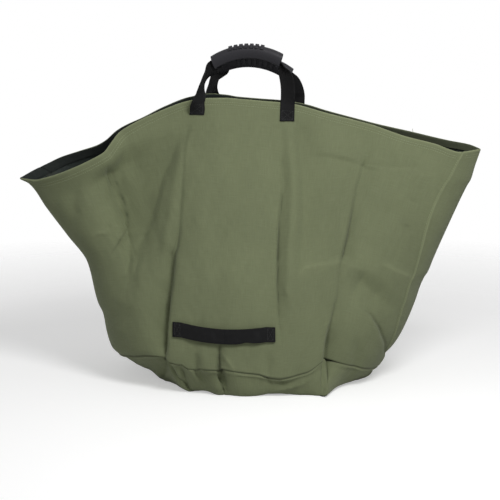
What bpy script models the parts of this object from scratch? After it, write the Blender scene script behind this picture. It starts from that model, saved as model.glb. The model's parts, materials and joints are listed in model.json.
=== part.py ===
"""Pop up leaf bag: a floppy canvas garden bag that stands on its round base with its mouth pinched
nearly shut, two webbing handles with ribbed rubber grips, and a pull strap low on its front.

Metres, +Z up, +X to the right of someone facing the bag, the front wall towards -Y.
The bag is one skin, described by a turn round the mouth (0 at the right tip, a quarter turn at the
back, three quarters at the front) and by a rise from the base seam (0) to the rim (1)."""

import math

import bpy
import numpy as np
from mathutils import Matrix, Vector

# Driving sizes, in metres
MOUTH_WIDTH = 0.820
MOUTH_GAP = 0.052
RIM_HEIGHT = 0.500
BASE_LEFT_REACH = 0.250
BASE_RIGHT_REACH = 0.231
BASE_DEPTH = 0.390
SEAM_HEIGHT = 0.045
WALL_BULGE = 0.012

FABRIC = 0.001
GAP = 0.0003
HEM_DEPTH = 0.013
HEM_ROOM = 0.0005
BASE_LAP = 0.010
SEAM_TAPE_WIDTH = 0.020
SEAM_TAPE = 0.0008
STAY_WIDTH = 0.009
STAY = 0.001
STAY_REACH = 0.365

FOOT_LEFT_REACH = 0.152
FOOT_RIGHT_REACH = 0.205
FOOT_DEPTH = 0.344

FOLD_DEPTH = 0.018
FOLD_WIDTH = 0.030
PLEAT_EDGE = 0.006

WEBBING_WIDTH = 0.025
WEBBING = 0.0016
HANDLE_SPACING = 0.152
FRONT_HANDLE_SHIFT = -0.0105
BACK_HANDLE_SHIFT = 0.0085
TAB_LENGTH = 0.034
TAB_RISE = 0.005

GRIP_LENGTH = 0.125
GRIP_RISE = 0.020
GRIP_DEPTH = 0.019
GRIP_HEIGHT = 0.026
GRIP_SLOT = 0.0076
GRIP_LIP = 0.003
RIB_PITCH = 0.0101
RIB_LENGTH = 0.0066
RIB_HEIGHT = 0.0021
RIB_FLANK = 0.0006
RIB_COUNT = 7

FRONT_GRIP_LIFT = 0.072
FRONT_GRIP_SHIFT = 0.004
FRONT_GRIP_LEAN = 0.001
BACK_GRIP_LIFT = 0.0505
BACK_GRIP_SHIFT = -0.0077
GRIP_REST_GAP = 0.0008
LEG_RUN_UP = 0.026
LEG_RUN_IN = 0.022

PULL_SPAN = 0.174
PULL_SHIFT = -0.045
PULL_HEIGHT = 0.110
PULL_DROP = 0.0105
PULL_SAG = 0.006
PULL_END = 0.014
PULL_STANDOFF = 0.0022
PULL_HINGE_RISE = 0.009

# Shapes, as shares of the sizes above
LEFT_EDGE_SHARES = ((0, 0), (0.1, 0.06), (0.3, 0.16), (0.52, 0.262), (0.68, 0.49), (0.86, 0.735), (0.96, 0.894), (1, 1))
RIGHT_EDGE_SHARES = ((0, 0), (0.14, 0.215), (0.3, 0.365), (0.5, 0.545), (0.68, 0.715), (0.82, 0.86), (0.93, 0.95), (1, 1))
FRONT_RIM_SHARES = (
    (-1, 0.702), (-0.9, 0.715), (-0.75, 0.764), (-0.65, 0.797), (-0.6, 0.838), (-0.55, 0.884), (-0.43, 0.934),
    (-0.24, 0.998), (0, 0.995), (0.17, 0.981), (0.3, 0.952), (0.6, 0.882), (0.8, 0.835), (0.93, 0.802), (1, 0.807),
)
BACK_RIM_SHARES = (
    (-1, 0.702), (-0.9, 0.746), (-0.75, 0.792), (-0.66, 0.818), (-0.58, 0.876), (-0.43, 0.932), (-0.25, 0.998),
    (-0.16, 1.0), (-0.05, 0.992), (0.15, 0.979), (0.3, 0.955), (0.45, 0.918), (0.7, 0.87), (0.93, 0.829), (1, 0.807),
)
FRONT_MOUTH_SHARES = (
    (-1, 0.87), (-0.88, 1.65), (-0.78, 1.83), (-0.66, 1.55), (-0.6, 0.96), (-0.55, 0.4), (-0.43, 0.27), (-0.3, 0.33),
    (-0.15, 0.5), (0.12, 0.49), (0.28, 0.37), (0.43, 0.35), (0.6, 0.68), (0.78, 1.04), (0.91, 1.33), (1, 0.87),
)
BACK_MOUTH_SHARES = (
    (-1, 0.87), (-0.88, 1.75), (-0.75, 1.4), (-0.66, 0.95), (-0.58, 0.34), (-0.43, 0.24), (-0.3, 0.3), (-0.15, 0.46),
    (0.1, 0.44), (0.39, 0.3), (0.55, 0.38), (0.75, 0.68), (0.91, 0.92), (1, 0.87),
)
FRONT_SEAM_SHARES = (
    (-1, 1.04), (-0.72, 1.36), (-0.57, 1.28), (-0.38, 1.05), (-0.2, 1.07), (0, 0.95), (0.21, 0.8), (0.4, 0.9),
    (0.57, 1.29), (0.7, 1.07), (0.83, 0.8), (1, 0.17),
)
BACK_SEAM_SHARES = ((-1, 1.04), (-0.6, 1.15), (0, 1.0), (0.5, 1.05), (0.8, 0.75), (1, 0.17))
FOOT_KNEE_SHARE = 1.09
SEAM_TURN = math.radians(23)

# Folds of the front wall: a path of (across, up, strength), as shares of half the mouth's width, of the
# rim's height and of the fold depth, then a width share, and the side on which the cloth drops back:
# -1 left, 1 right, 0 both
FOLD_SHARES = (
    (((-0.275, 0.92, 0.0), (-0.33, 0.74, 1.0), (-0.41, 0.57, 0.8), (-0.48, 0.42, 0.3)), 0.75, 0),
    (((-0.28, 0.86, 0.0), (-0.3, 0.62, 0.3), (-0.33, 0.46, 0.9), (-0.34, 0.2, 1.1), (-0.345, 0.05, 0.6)), 1.7, -1),
    (((0.142, 0.9, 0.0), (0.14, 0.68, 0.35), (0.115, 0.42, 0.45), (0.115, 0.24, 0.3)), 0.6, 0),
    (((0.48, 0.77, 0.35), (0.42, 0.58, 0.6), (0.39, 0.46, 0.4), (0.35, 0.3, 0.5), (0.32, 0.16, 0.9), (0.32, 0.02, 0.5)), 1.5, 1),
    (((-0.605, 0.79, 0.3), (-0.55, 0.65, 0.45), (-0.51, 0.54, 0.5)), 0.8, -1),
    (((0.4, 0.32, 0.25), (0.49, 0.29, 0.4), (0.545, 0.23, 0.5), (0.565, 0.14, 0.3)), 0.9, 1),
    (((-0.135, 0.19, 0.2), (-0.135, 0.1, 0.9), (-0.13, 0.03, 0.6)), 0.35, 0),
    (((0.7, 0.74, 0.1), (0.45, 0.765, 0.2), (0.22, 0.79, 0.1)), 0.5, 0),
)
FOLD_END_SHARE = 0.4
BACK_FOLD_SHARE = 0.8
SEAM_FOLD_SHARE = 0.4

# Facets
PANEL_COLUMNS = 46
WALL_ROW_SHARES = (0.07, 0.14, 0.22, 0.31, 0.4, 0.5, 0.6, 0.7, 0.79, 0.87, 0.93)
HEM_TURN_STEPS = 3
BORDER_STEPS = 4
LEG_STATIONS = 9
GRIP_STATIONS = 12
CREST_STEPS = 6
SPAN_STATIONS = 14

HALF_MOUTH = MOUTH_WIDTH / 2
HEM_RADIUS = (FABRIC + STAY) / 2 + HEM_ROOM
TAB_OFFSET = FABRIC / 2 + GAP + WEBBING / 2
RIGHT_SEAM = 2 * math.pi - SEAM_TURN
LEFT_SEAM = math.pi - SEAM_TURN


def through(pairs, at):
    """A smooth curve through pairs of shares that never overshoots them."""
    xs, ys = np.array(pairs, float).T
    steps = np.diff(xs)
    slopes = np.diff(ys) / steps
    same_way = slopes[:-1] * slopes[1:] > 0
    total = np.where(same_way, slopes[:-1] + slopes[1:], 1)
    inner = np.where(same_way, 2 * slopes[:-1] * slopes[1:] / total, 0)
    tangents = np.concatenate([slopes[:1], inner, slopes[-1:]])
    k = np.clip(np.searchsorted(xs, at, side="right") - 1, 0, len(steps) - 1)
    u = np.clip((at - xs[k]) / steps[k], 0, 1)
    rise = ys[k] + (ys[k + 1] - ys[k]) * u * u * (3 - 2 * u)
    return rise + steps[k] * (tangents[k] * u * (1 - u) ** 2 - tangents[k + 1] * u * u * (1 - u))


def mix(a, b, share):
    return a + (b - a) * share


def smooth_step(value):
    value = np.clip(value, 0, 1)
    return value * value * (3 - 2 * value)


def unit(vectors):
    return vectors / np.linalg.norm(vectors, axis=-1, keepdims=True)


def seam_height(turn):
    across = np.cos(turn)
    share = np.where(np.sin(turn) < 0, through(FRONT_SEAM_SHARES, across), through(BACK_SEAM_SHARES, across))
    return SEAM_HEIGHT * share


def plain_skin(turn, rise):
    """The bag's middle surface before its folds."""
    turn, rise = np.broadcast_arrays(np.asarray(turn, float), np.asarray(rise, float))
    across, front = np.cos(turn), np.sin(turn) < 0
    left = mix(BASE_LEFT_REACH, HALF_MOUTH, through(LEFT_EDGE_SHARES, rise))
    right = mix(BASE_RIGHT_REACH, HALF_MOUTH, through(RIGHT_EDGE_SHARES, rise))
    reach = np.where(across < 0, left, right)
    mouth = np.where(front, through(FRONT_MOUTH_SHARES, across), through(BACK_MOUTH_SHARES, across))
    bulge = WALL_BULGE * 4 * rise * (1 - rise) * (0.4 + across**2)
    depth = mix(BASE_DEPTH / 2, MOUTH_GAP * mouth, rise) + bulge
    rim = np.where(front, through(FRONT_RIM_SHARES, across), through(BACK_RIM_SHARES, across))
    height = mix(seam_height(turn), RIM_HEIGHT * rim, rise)
    return np.stack([across * reach, np.sin(turn) * depth, height], axis=-1)


def outward(surface, turn, rise):
    """Unit normals of a surface of turn and rise, pointing out of the bag."""
    step = 1e-3
    low, high = np.clip(rise - step, 0, 1), np.clip(rise + step, 0, 1)
    along = surface(turn + step, rise) - surface(turn - step, rise)
    up = surface(turn, high) - surface(turn, low)
    return unit(np.cross(along, up))


def fold_profile(distance, width, side):
    """How far the cloth drops beside a fold line: a round valley, or a sharp edge with a drop on one side."""
    if side == 0:
        return np.exp(-((distance / width) ** 2))
    beyond = np.clip(distance * side, 0, None)
    return (1 - np.exp(-beyond / PLEAT_EDGE)) * np.exp(-beyond / width)


def fold_drop(points):
    """How far the folds set the cloth back at points of the front wall."""
    across, up = points[..., 0], points[..., 2]
    drop = np.zeros(across.shape)
    for path, width_share, side in FOLD_SHARES:
        width = FOLD_WIDTH * width_share
        nodes = [(x * HALF_MOUTH, z * RIM_HEIGHT, strength) for x, z, strength in path]
        nearest = np.full(across.shape, np.inf)
        depth = np.zeros(across.shape)
        for (x0, z0, s0), (x1, z1, s1) in zip(nodes, nodes[1:]):
            dx, dz = x1 - x0, z1 - z0
            length = math.hypot(dx, dz)
            u = ((across - x0) * dx + (up - z0) * dz) / length**2
            on = np.clip(u, 0, 1)
            past = np.abs(u - on) * length / FOLD_END_SHARE
            # Paths run downwards, so a point on their right has a negative cross product
            beside = ((across - x0) * -dz + (up - z0) * dx) / length
            far = np.hypot(past * FOLD_END_SHARE, np.abs(beside))
            value = mix(s0, s1, on) * fold_profile(beside, width, side) * np.exp(-((past / width) ** 2))
            depth = np.where(far < nearest, value, depth)
            nearest = np.minimum(far, nearest)
        drop = np.maximum(drop, depth)
    return FOLD_DEPTH * drop


def skin(turn, rise):
    """The bag's middle surface with its folds, which fade at the rim and round the sides."""
    turn, rise = np.broadcast_arrays(np.asarray(turn, float), np.asarray(rise, float))
    points = plain_skin(turn, rise)
    normal = outward(plain_skin, turn, rise)
    front = np.sin(turn) < 0
    mirrored = points * np.array([-1.0, 1.0, 1.0])
    drop = np.where(front, fold_drop(points), BACK_FOLD_SHARE * fold_drop(mirrored))
    fade = smooth_step(np.abs(np.sin(turn)) * 2.2 - 0.3) * smooth_step((1 - rise) * 9)
    fade = fade * mix(SEAM_FOLD_SHARE, 1, smooth_step(rise * 7))
    return points - normal * (drop * fade)[..., None]


def offset_skin(turn, rise, distance):
    """The skin moved outwards by a distance, or inwards by a negative one."""
    turn, rise = np.broadcast_arrays(np.asarray(turn, float), np.asarray(rise, float))
    return skin(turn, rise) + outward(skin, turn, rise) * distance


def rise_below_rim(turn, distance):
    """The rise of the point that lies this far below the rim along the wall."""
    length = np.linalg.norm(plain_skin(turn, 1.0) - plain_skin(turn, 0.0), axis=-1)
    return 1 - distance / length


def rise_above_seam(turn, distance):
    return 1 - rise_below_rim(turn, distance)


def turn_at(x, front):
    """The turn at which the rim passes this place across the mouth."""
    angle = math.acos(x / HALF_MOUTH)
    return -angle if front else angle


def spread_turns(start, end, count):
    """Turns from start to end, closer together along the wide sides than round the tips."""
    fine = np.linspace(start, end, 2000)
    weight = np.cumsum(0.35 + np.sin(fine) ** 2)
    weight = (weight - weight[0]) / (weight[-1] - weight[0])
    return np.interp(np.linspace(0, 1, count + 1), weight, fine)


def material(name, colour, roughness):
    made = bpy.data.materials.new(name)
    made.use_nodes = True
    shader = made.node_tree.nodes["Principled BSDF"]
    shader.inputs["Base Color"].default_value = (*colour, 1)
    shader.inputs["Roughness"].default_value = roughness
    shader.inputs["Metallic"].default_value = 0
    return made


def add_object(name, points, faces, finish):
    mesh = bpy.data.meshes.new(name)
    mesh.from_pydata([tuple(p) for p in np.asarray(points, float)], [], faces)
    mesh.update()
    made = bpy.data.objects.new(name, mesh)
    COLLECTION.objects.link(made)
    mesh.materials.append(material(name, *finish))
    mesh.shade_smooth()
    mesh.set_sharp_from_angle(angle=math.radians(40))
    return made


def grid_faces(columns, rows, closed=False):
    """Quads of a grid whose points are listed column by column."""
    faces = []
    for i in range(columns if closed else columns - 1):
        here, there = i * rows, (i + 1) % columns * rows
        faces += [(here + j, there + j, there + j + 1, here + j + 1) for j in range(rows - 1)]
    return faces


def sheet(name, grid, thickness, finish):
    """A cloth piece: a grid of points, given its thickness on both sides."""
    columns, rows = grid.shape[:2]
    made = add_object(name, grid.reshape(-1, 3), grid_faces(columns, rows), finish)
    thicken(made, thickness)
    return made


def thicken(made, thickness):
    solidify = made.modifiers.new("thickness", "SOLIDIFY")
    solidify.thickness = thickness
    solidify.offset = 0


def lofted(name, rings, finish):
    """A closed body through rings of points, with both ends capped."""
    count, size = rings.shape[:2]
    points = rings.reshape(-1, 3)
    faces = []
    for i in range(count - 1):
        for j in range(size):
            a, b = i * size + j, i * size + (j + 1) % size
            faces.append((a, b, b + size, a + size))
    faces.append(tuple(reversed(range(size))))
    faces.append(tuple(range((count - 1) * size, count * size)))
    return add_object(name, points, faces, finish)


def wall_rises(turns):
    """Rows of each wall column: the base lap, the open wall, the start of the hem and the rim."""
    hem = rise_below_rim(turns, HEM_DEPTH)
    rows = [0 * turns, rise_above_seam(turns, BASE_LAP), *[share * hem for share in WALL_ROW_SHARES], hem, 0 * turns + 1]
    return np.stack(rows, axis=1)


def tab_turns(x, front):
    """The columns under a tab: one at each of its edges, and one along its middle."""
    middle = turn_at(x, front)
    half = WEBBING_WIDTH / 2 / HALF_MOUTH / abs(math.sin(middle))
    return np.array([middle - half, middle, middle + half])


def wall_turns(front, tab_places):
    """The columns of a wall: one at each edge of its tabs and seam tapes, the rest evenly between."""
    start, end = (LEFT_SEAM, RIGHT_SEAM) if front else (RIGHT_SEAM, LEFT_SEAM + 2 * math.pi)
    edge = GAP / 2 / HALF_MOUTH
    tape = SEAM_TAPE_WIDTH / HALF_MOUTH
    fixed = [np.array([start + edge, start + tape]), np.array([end - tape, end - edge])]
    for x in tab_places:
        fixed.append(tab_turns(x, front) % (2 * math.pi) + (0 if front else 2 * math.pi))
    fixed = np.sort(np.concatenate(fixed))
    free = spread_turns(start, end, PANEL_COLUMNS)
    near = np.abs(free[:, None] - fixed).min(axis=1)
    return np.sort(np.concatenate([fixed, free[near > tape / 2]]))


def grid_normals(grid):
    """Unit normals at the points of a grid, from the facets round each."""
    across = grid[1:, 1:] - grid[:-1, :-1]
    other = grid[:-1, 1:] - grid[1:, :-1]
    facets = np.pad(np.cross(across, other), ((1, 1), (1, 1), (0, 0)))
    return unit(facets[1:, 1:] + facets[:-1, 1:] + facets[1:, :-1] + facets[:-1, :-1])


class Wall:
    """One wall of the bag as the grid of points that its panel, and all that is sewn to it, follow."""

    def __init__(self, front, handle_shift):
        self.front = front
        side = 1 if front else -1
        self.tab_places = [handle_shift - side * HANDLE_SPACING / 2, handle_shift + side * HANDLE_SPACING / 2]
        self.turns = wall_turns(front, self.tab_places)
        self.rises = wall_rises(self.turns)
        self.points = skin(self.turns[:, None], self.rises)
        self.normals = grid_normals(self.points)

    def column(self, turn):
        """The number of the column nearest to a turn."""
        return int(np.abs(np.cos(self.turns - turn) - 1).argmin())

    def at_rises(self, columns, rises, distance):
        """Points of some columns at these rises, moved out by a distance, or in by a negative one."""
        moved = self.points + self.normals * distance
        rows = []
        for column, wanted in zip(columns, rises):
            rows.append([np.interp(wanted, self.rises[column], moved[column, :, i]) for i in range(3)])
        return np.array(rows).transpose(0, 2, 1)

    def middle_of_tab(self, x):
        return self.column(turn_at(x, self.front))


def join_walls(before, after):
    """Gives both sides of a seam the same normals, so that their edges meet."""
    shared = unit(before.normals[-1] + after.normals[0])
    before.normals[-1] = shared
    after.normals[0] = shared


def panel(name, wall, finish):
    """One wall of the bag: up the outside, over the rim, and down inside as a hem round the stay."""
    rim, out = wall.points[:, -1], wall.normals[:, -1]
    up = unit(rim - wall.points[:, -2])
    rows = [wall.points]
    for step in range(1, HEM_TURN_STEPS + 1):
        angle = math.pi * step / HEM_TURN_STEPS
        turned = out * (math.cos(angle) - 1) + up * math.sin(angle)
        rows.append((rim + turned * HEM_RADIUS)[:, None])
    rows.append((wall.points[:, -2] - wall.normals[:, -2] * 2 * HEM_RADIUS)[:, None])
    return sheet(name, np.concatenate(rows, axis=1), FABRIC, finish)


def stay(name, wall, finish):
    """The flat stay that fills a hem between the tips of the mouth."""
    inside = np.abs(wall.points[:, -1, 0]) < STAY_REACH
    inside &= (np.sin(wall.turns) < 0) == wall.front
    columns = np.nonzero(inside)[0]
    drops = np.array([HEM_DEPTH + STAY_WIDTH, HEM_DEPTH - STAY_WIDTH]) / 2
    rises = rise_below_rim(wall.turns[columns][:, None], drops)
    return sheet(name, wall.at_rises(columns, rises, -HEM_RADIUS), STAY, finish)


def seam_tape(name, before, after, finish):
    """The tape that binds a side seam on the inside, from the base lap up to the hem."""
    inset = -(FABRIC + SEAM_TAPE) / 2 - GAP
    grid = []
    for wall, columns in ((before, (-2, -1)), (after, (0, 1))):
        turns = wall.turns[list(columns)]
        low = rise_above_seam(turns, BASE_LAP + SEAM_TAPE)
        high = rise_below_rim(turns, HEM_DEPTH + SEAM_TAPE)
        rises = np.stack([low, *wall.rises[list(columns), 2:-2].T, high], axis=1)
        grid.append(wall.at_rises(columns, rises, inset))
    return sheet(name, np.concatenate(grid), SEAM_TAPE, finish)


def foot_point(turn, seam, share):
    """The base's border, from the seam (0) down round its knee to the edge of the flat foot (1)."""
    across, around = np.cos(turn), np.sin(turn)
    reach = np.where(across < 0, FOOT_LEFT_REACH, FOOT_RIGHT_REACH)
    edge = np.stack([across * reach, around * FOOT_DEPTH / 2, 0 * across + FLOOR_LEVEL], axis=-1)
    knee = edge * np.array([FOOT_KNEE_SHARE, FOOT_KNEE_SHARE, 1])
    return seam * (1 - share) ** 2 + knee * 2 * share * (1 - share) + edge * share**2


def base(name, walls, finish):
    """The round base: its edge laps up behind the wall, turns down to the floor and lies flat on it."""
    turns = np.concatenate([wall.turns for wall in walls])
    lap = np.concatenate([wall.points[:, :2] - wall.normals[:, :2] * (FABRIC + GAP) for wall in walls])
    rows = [lap[:, 1], lap[:, 0]]
    rows += [foot_point(turns, lap[:, 0], step / BORDER_STEPS) for step in range(1, BORDER_STEPS + 1)]
    grid = np.stack(rows, axis=1)
    columns, rows = grid.shape[:2]
    centre = grid[:, -1].mean(axis=0)
    faces = grid_faces(columns, rows, closed=True)
    middle = columns * rows
    faces += [(i * rows + rows - 1, (i + 1) % columns * rows + rows - 1, middle) for i in range(columns)]
    faces = [tuple(reversed(face)) for face in faces]
    made = add_object(name, [*grid.reshape(-1, 3), centre], faces, finish)
    thicken(made, FABRIC)
    return made


def hinge_point(wall, x):
    """Where a handle folds over its tab: on the tab's outer face, a little above the rim."""
    column = wall.middle_of_tab(x)
    face = wall.points[column, -1] + wall.normals[column, -1] * (TAB_OFFSET + WEBBING / 2)
    return face + np.array([0.0, 0.0, TAB_RISE])


class Handle:
    """The places of one handle: its hinge line, and the path and frames of its webbing and grip."""

    def __init__(self, wall, grip_shift, lift, lean, tilt, twists):
        side = 1 if wall.front else -1
        self.wall = wall
        self.start, self.end = (hinge_point(wall, x) for x in wall.tab_places)
        self.axis = unit(self.end - self.start)
        self.rise = unit(np.cross([0.0, -side, 0.0], self.axis))
        self.outside = np.cross(self.axis, self.rise)
        middle = (self.start + self.end) / 2
        inwards = WEBBING / 2 + lean
        self.centre = middle - self.outside * inwards + self.axis * grip_shift + self.rise * lift
        leaning = unit(self.rise * lift - self.outside * lean)
        self.along = self.axis * math.cos(tilt) + leaning * math.sin(tilt)
        self.up = leaning * math.cos(tilt) - self.axis * math.sin(tilt)
        self.out = np.cross(self.along, self.up)
        self.radius = ((GRIP_LENGTH / 2) ** 2 + GRIP_RISE**2) / (2 * GRIP_RISE)
        self.half_angle = math.asin(GRIP_LENGTH / 2 / self.radius)
        self.twists = twists

    def arc(self, angle):
        """Point, tangent and upward direction of the grip's middle line, angle 0 at its crest."""
        up = self.along * math.sin(angle) + self.up * math.cos(angle)
        tangent = self.along * math.cos(angle) - self.up * math.sin(angle)
        return self.centre + (up - self.up) * self.radius, tangent, up

    def leg(self, hinge, angle, twist, stations):
        """Stations of a leg from its hinge to the grip: a smooth bend, turned edgeways part of the way."""
        end, tangent, _ = self.arc(angle)
        start = hinge - self.outside * (WEBBING / 2) + self.rise * GAP
        away = -tangent if angle < 0 else tangent
        knots = (start, start + self.rise * LEG_RUN_UP, end + away * LEG_RUN_IN, end)
        peak, place = twist
        frames = []
        for share in np.linspace(0, 1, stations):
            a, b, c, d = knots
            rest = 1 - share
            point = a * rest**3 + b * 3 * rest**2 * share + c * 3 * rest * share**2 + d * share**3
            slope = (b - a) * rest**2 + (c - b) * 2 * rest * share + (d - c) * share**2
            forward = unit(slope) if angle < 0 else -unit(slope)
            facing = mix(self.outside, self.out, share)
            side = unit(np.cross(facing, forward))
            bump = share ** (place / (1 - place)) * rest
            most = place ** (place / (1 - place)) * (1 - place)
            turn = peak * bump / most
            face = np.cross(forward, side)
            frames.append((point, forward, side * math.cos(turn) + face * math.sin(turn)))
        return frames if angle < 0 else frames[::-1]

    def webbing(self):
        """All stations of the webbing, from one hinge through the grip to the other."""
        left, right = self.twists
        frames = self.leg(self.start, -self.half_angle, left, LEG_STATIONS)[:-1]
        for angle in np.linspace(-self.half_angle, self.half_angle, GRIP_STATIONS):
            frames.append(self.arc(angle))
        return frames + self.leg(self.end, self.half_angle, right, LEG_STATIONS)[1:]


def tab(name, x, hinge, handle, finish):
    """A webbing end sewn flat on the wall below the rim, up to the line where its handle folds."""
    wall = handle.wall
    middle = wall.middle_of_tab(x)
    columns = [middle - 1, middle, middle + 1]
    low = rise_below_rim(wall.turns[columns], TAB_LENGTH)
    rows = (wall.rises[columns] > low[:, None]).all(axis=0)
    rises = np.concatenate([low[:, None], wall.rises[columns][:, rows]], axis=1)
    across = np.linspace(-0.5, 0.5, len(columns))[:, None] * WEBBING_WIDTH * handle.axis
    top = hinge - handle.outside * (WEBBING / 2) + across
    grid = np.concatenate([wall.at_rises(columns, rises, TAB_OFFSET), top[:, None]], axis=1)
    return sheet(name, grid, WEBBING, finish)


def resting_lean(front_handle, wall, lift):
    """How far the back handle leans in before its grip rests against the front one."""
    reach = GRIP_DEPTH / 2 + RIB_HEIGHT
    hinge = (hinge_point(wall, wall.tab_places[0]) + hinge_point(wall, wall.tab_places[1])) / 2
    room = hinge[1] - front_handle.centre[1] - WEBBING / 2 - 2 * reach - GRIP_REST_GAP
    arch = WEBBING_WIDTH / 2 + GAP + (GRIP_DEPTH - GRIP_SLOT) / 2 - GRIP_DEPTH / 2
    low, high = 0.0, room
    for _ in range(40):
        lean = (low + high) / 2
        used = lean + arch * lean / math.hypot(lean, lift)
        low, high = (lean, high) if used < room else (low, lean)
    return low


def handle_webbing(name, handle, finish):
    """The loop of webbing, flat over its tabs and on edge inside its grip."""
    shares = np.array([-0.5, 0.0, 0.5])[:, None] * WEBBING_WIDTH
    grid = [point + side * shares for point, _, side in handle.webbing()]
    return sheet(name, np.array(grid), WEBBING, finish)


def grip_profile():
    """The grip's section as (out, up, rib weight): round over the top, with two lips and a slot below."""
    half, slot = GRIP_DEPTH / 2, GRIP_SLOT / 2
    roof = WEBBING_WIDTH / 2 + GAP
    crest = roof + (GRIP_DEPTH - GRIP_SLOT) / 2
    foot = crest - GRIP_HEIGHT
    spring = crest - half
    points = [(slot, foot, 0), (half - GRIP_LIP, foot, 0), (half, foot + GRIP_LIP, 0)]
    for step in range(CREST_STEPS + 1):
        angle = math.pi * step / CREST_STEPS
        weight = smooth_step((0.75 - math.cos(angle)) * 2)
        points.append((half * math.cos(angle), spring + half * math.sin(angle), float(weight)))
    points += [(-half, foot + 2 * GRIP_LIP, 1), (-half, foot + GRIP_LIP, 0)]
    points += [(GRIP_LIP - half, foot, 0), (-slot, foot, 0), (-slot, roof, 0), (slot, roof, 0)]
    return points[::-1]


def rib_places():
    """Distances along the grip, with whether the rib stands there: each rib has four."""
    places = [(-GRIP_LENGTH / 2, 0.0)]
    first = -RIB_PITCH * (RIB_COUNT - 1) / 2
    for number in range(RIB_COUNT):
        middle = first + number * RIB_PITCH
        half = RIB_LENGTH / 2
        places += [(middle - half - RIB_FLANK, 0.0), (middle - half, 1.0)]
        places += [(middle + half, 1.0), (middle + half + RIB_FLANK, 0.0)]
    lead = (places[0][0] + places[1][0]) / 2
    return [places[0], (lead, 0.0), *places[1:], (-lead, 0.0), (GRIP_LENGTH / 2, 0.0)]


def grip(name, handle, finish):
    """The moulded rubber grip: a slotted sleeve, arched over the webbing, ribbed over its crest and inner cheek."""
    profile = np.array(grip_profile())
    out, up = profile[:, 0], profile[:, 1]
    spring = up.max() - GRIP_DEPTH / 2
    raised = np.stack([out, np.where(up > spring, up - spring, 0.0)], axis=1)
    away = raised / np.maximum(np.linalg.norm(raised, axis=1, keepdims=True), GAP)
    rings = []
    for place, rib in rib_places():
        point, _, upward = handle.arc(place / GRIP_LENGTH * 2 * handle.half_angle)
        lift = (profile[:, 2] * rib * RIB_HEIGHT)[:, None] * away
        flat = np.stack([out, up], axis=1) + lift
        rings.append(point + handle.out * flat[:, :1] + upward * flat[:, 1:])
    return lofted(name, np.array(rings), finish)


def pull_height(x):
    """The height of the pull strap's middle line on the wall."""
    return PULL_HEIGHT - (x - PULL_SHIFT) / PULL_SPAN * PULL_DROP


def on_front(x, height):
    """The turns and rises of the front wall's points at these places across it and heights."""
    turn, rise = np.full(x.shape, 1.5 * math.pi), np.full(x.shape, 0.2)
    step = 1e-4
    for _ in range(12):
        here = plain_skin(turn, rise)
        by_turn = (plain_skin(turn + step, rise) - here) / step
        by_rise = (plain_skin(turn, rise + step) - here) / step
        short, low = x - here[..., 0], height - here[..., 2]
        size = by_turn[..., 0] * by_rise[..., 2] - by_turn[..., 2] * by_rise[..., 0]
        turn = turn + (short * by_rise[..., 2] - low * by_rise[..., 0]) / size
        rise = rise + (low * by_turn[..., 0] - short * by_turn[..., 2]) / size
    return turn, rise


def strap_on_wall(name, start, end, stations, standoff, sag, finish):
    """A length of the pull strap over the wall between two places across it."""
    share = np.linspace(0, 1, stations)[:, None]
    arch = 4 * share * (1 - share)
    x = mix(start, end, share) + np.zeros(2)
    height = pull_height(x) - sag * arch + WEBBING_WIDTH * np.array([-0.5, 0.5])
    turn, rise = on_front(x, height)
    out = outward(plain_skin, turn.mean(axis=1), rise.mean(axis=1))[:, None]
    lift = FABRIC / 2 + GAP + WEBBING / 2 + standoff * arch
    return sheet(name, plain_skin(turn, rise) + out * lift[..., None], WEBBING, finish)


def pull_hinge(made):
    """A point of the line about which the pull strap lifts: above its ends' top edges, just behind its middle."""
    points = np.array([vertex.co for vertex in made.data.vertices])
    tops = points[1::2]
    chord = (tops[0] + tops[-1]) / 2
    middle = tops[len(tops) // 2]
    return np.array([chord[0], middle[1] + 2 * WEBBING, chord[2] + PULL_HINGE_RISE])


def turn_about(made, point):
    """Puts a moving piece's origin on its joint."""
    made.data.transform(Matrix.Translation(-Vector(point)))
    made.location = point


def centre_on_floor():
    """Moves the whole bag so that the middle of its base outline is the origin."""
    bpy.context.view_layer.update()
    graph = bpy.context.evaluated_depsgraph_get()
    corners = []
    for made in COLLECTION.objects:
        corners += [made.matrix_world @ Vector(corner) for corner in made.evaluated_get(graph).bound_box]
    low = np.min(corners, axis=0)
    high = np.max(corners, axis=0)
    shift = Vector((-(low[0] + high[0]) / 2, -(low[1] + high[1]) / 2, -low[2]))
    for made in COLLECTION.objects:
        made.location += shift


def clear_scene():
    for old in list(bpy.data.objects):
        bpy.data.objects.remove(old, do_unlink=True)


OLIVE = ((0.16, 0.185, 0.1), 0.85)
DARK_OLIVE = ((0.1, 0.115, 0.07), 0.85)
BLACK = ((0.015, 0.015, 0.016), 0.8)
CHARCOAL = ((0.035, 0.033, 0.04), 0.6)
STAY_WHITE = ((0.6, 0.6, 0.58), 0.5)

# The base's middle surface lies half its thickness above the floor
FLOOR_LEVEL = FABRIC / 2

clear_scene()
COLLECTION = bpy.data.collections.new("leaf_bag")
bpy.context.scene.collection.children.link(COLLECTION)

FRONT_WALL = Wall(True, FRONT_HANDLE_SHIFT)
BACK_WALL = Wall(False, BACK_HANDLE_SHIFT)
join_walls(FRONT_WALL, BACK_WALL)
join_walls(BACK_WALL, FRONT_WALL)
panel("front_panel", FRONT_WALL, OLIVE)
panel("back_panel", BACK_WALL, OLIVE)
base("base_panel", (FRONT_WALL, BACK_WALL), OLIVE)
seam_tape("right_seam_tape", FRONT_WALL, BACK_WALL, DARK_OLIVE)
seam_tape("left_seam_tape", BACK_WALL, FRONT_WALL, DARK_OLIVE)
stay("front_rim_stay", FRONT_WALL, STAY_WHITE)
stay("back_rim_stay", BACK_WALL, STAY_WHITE)

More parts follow.
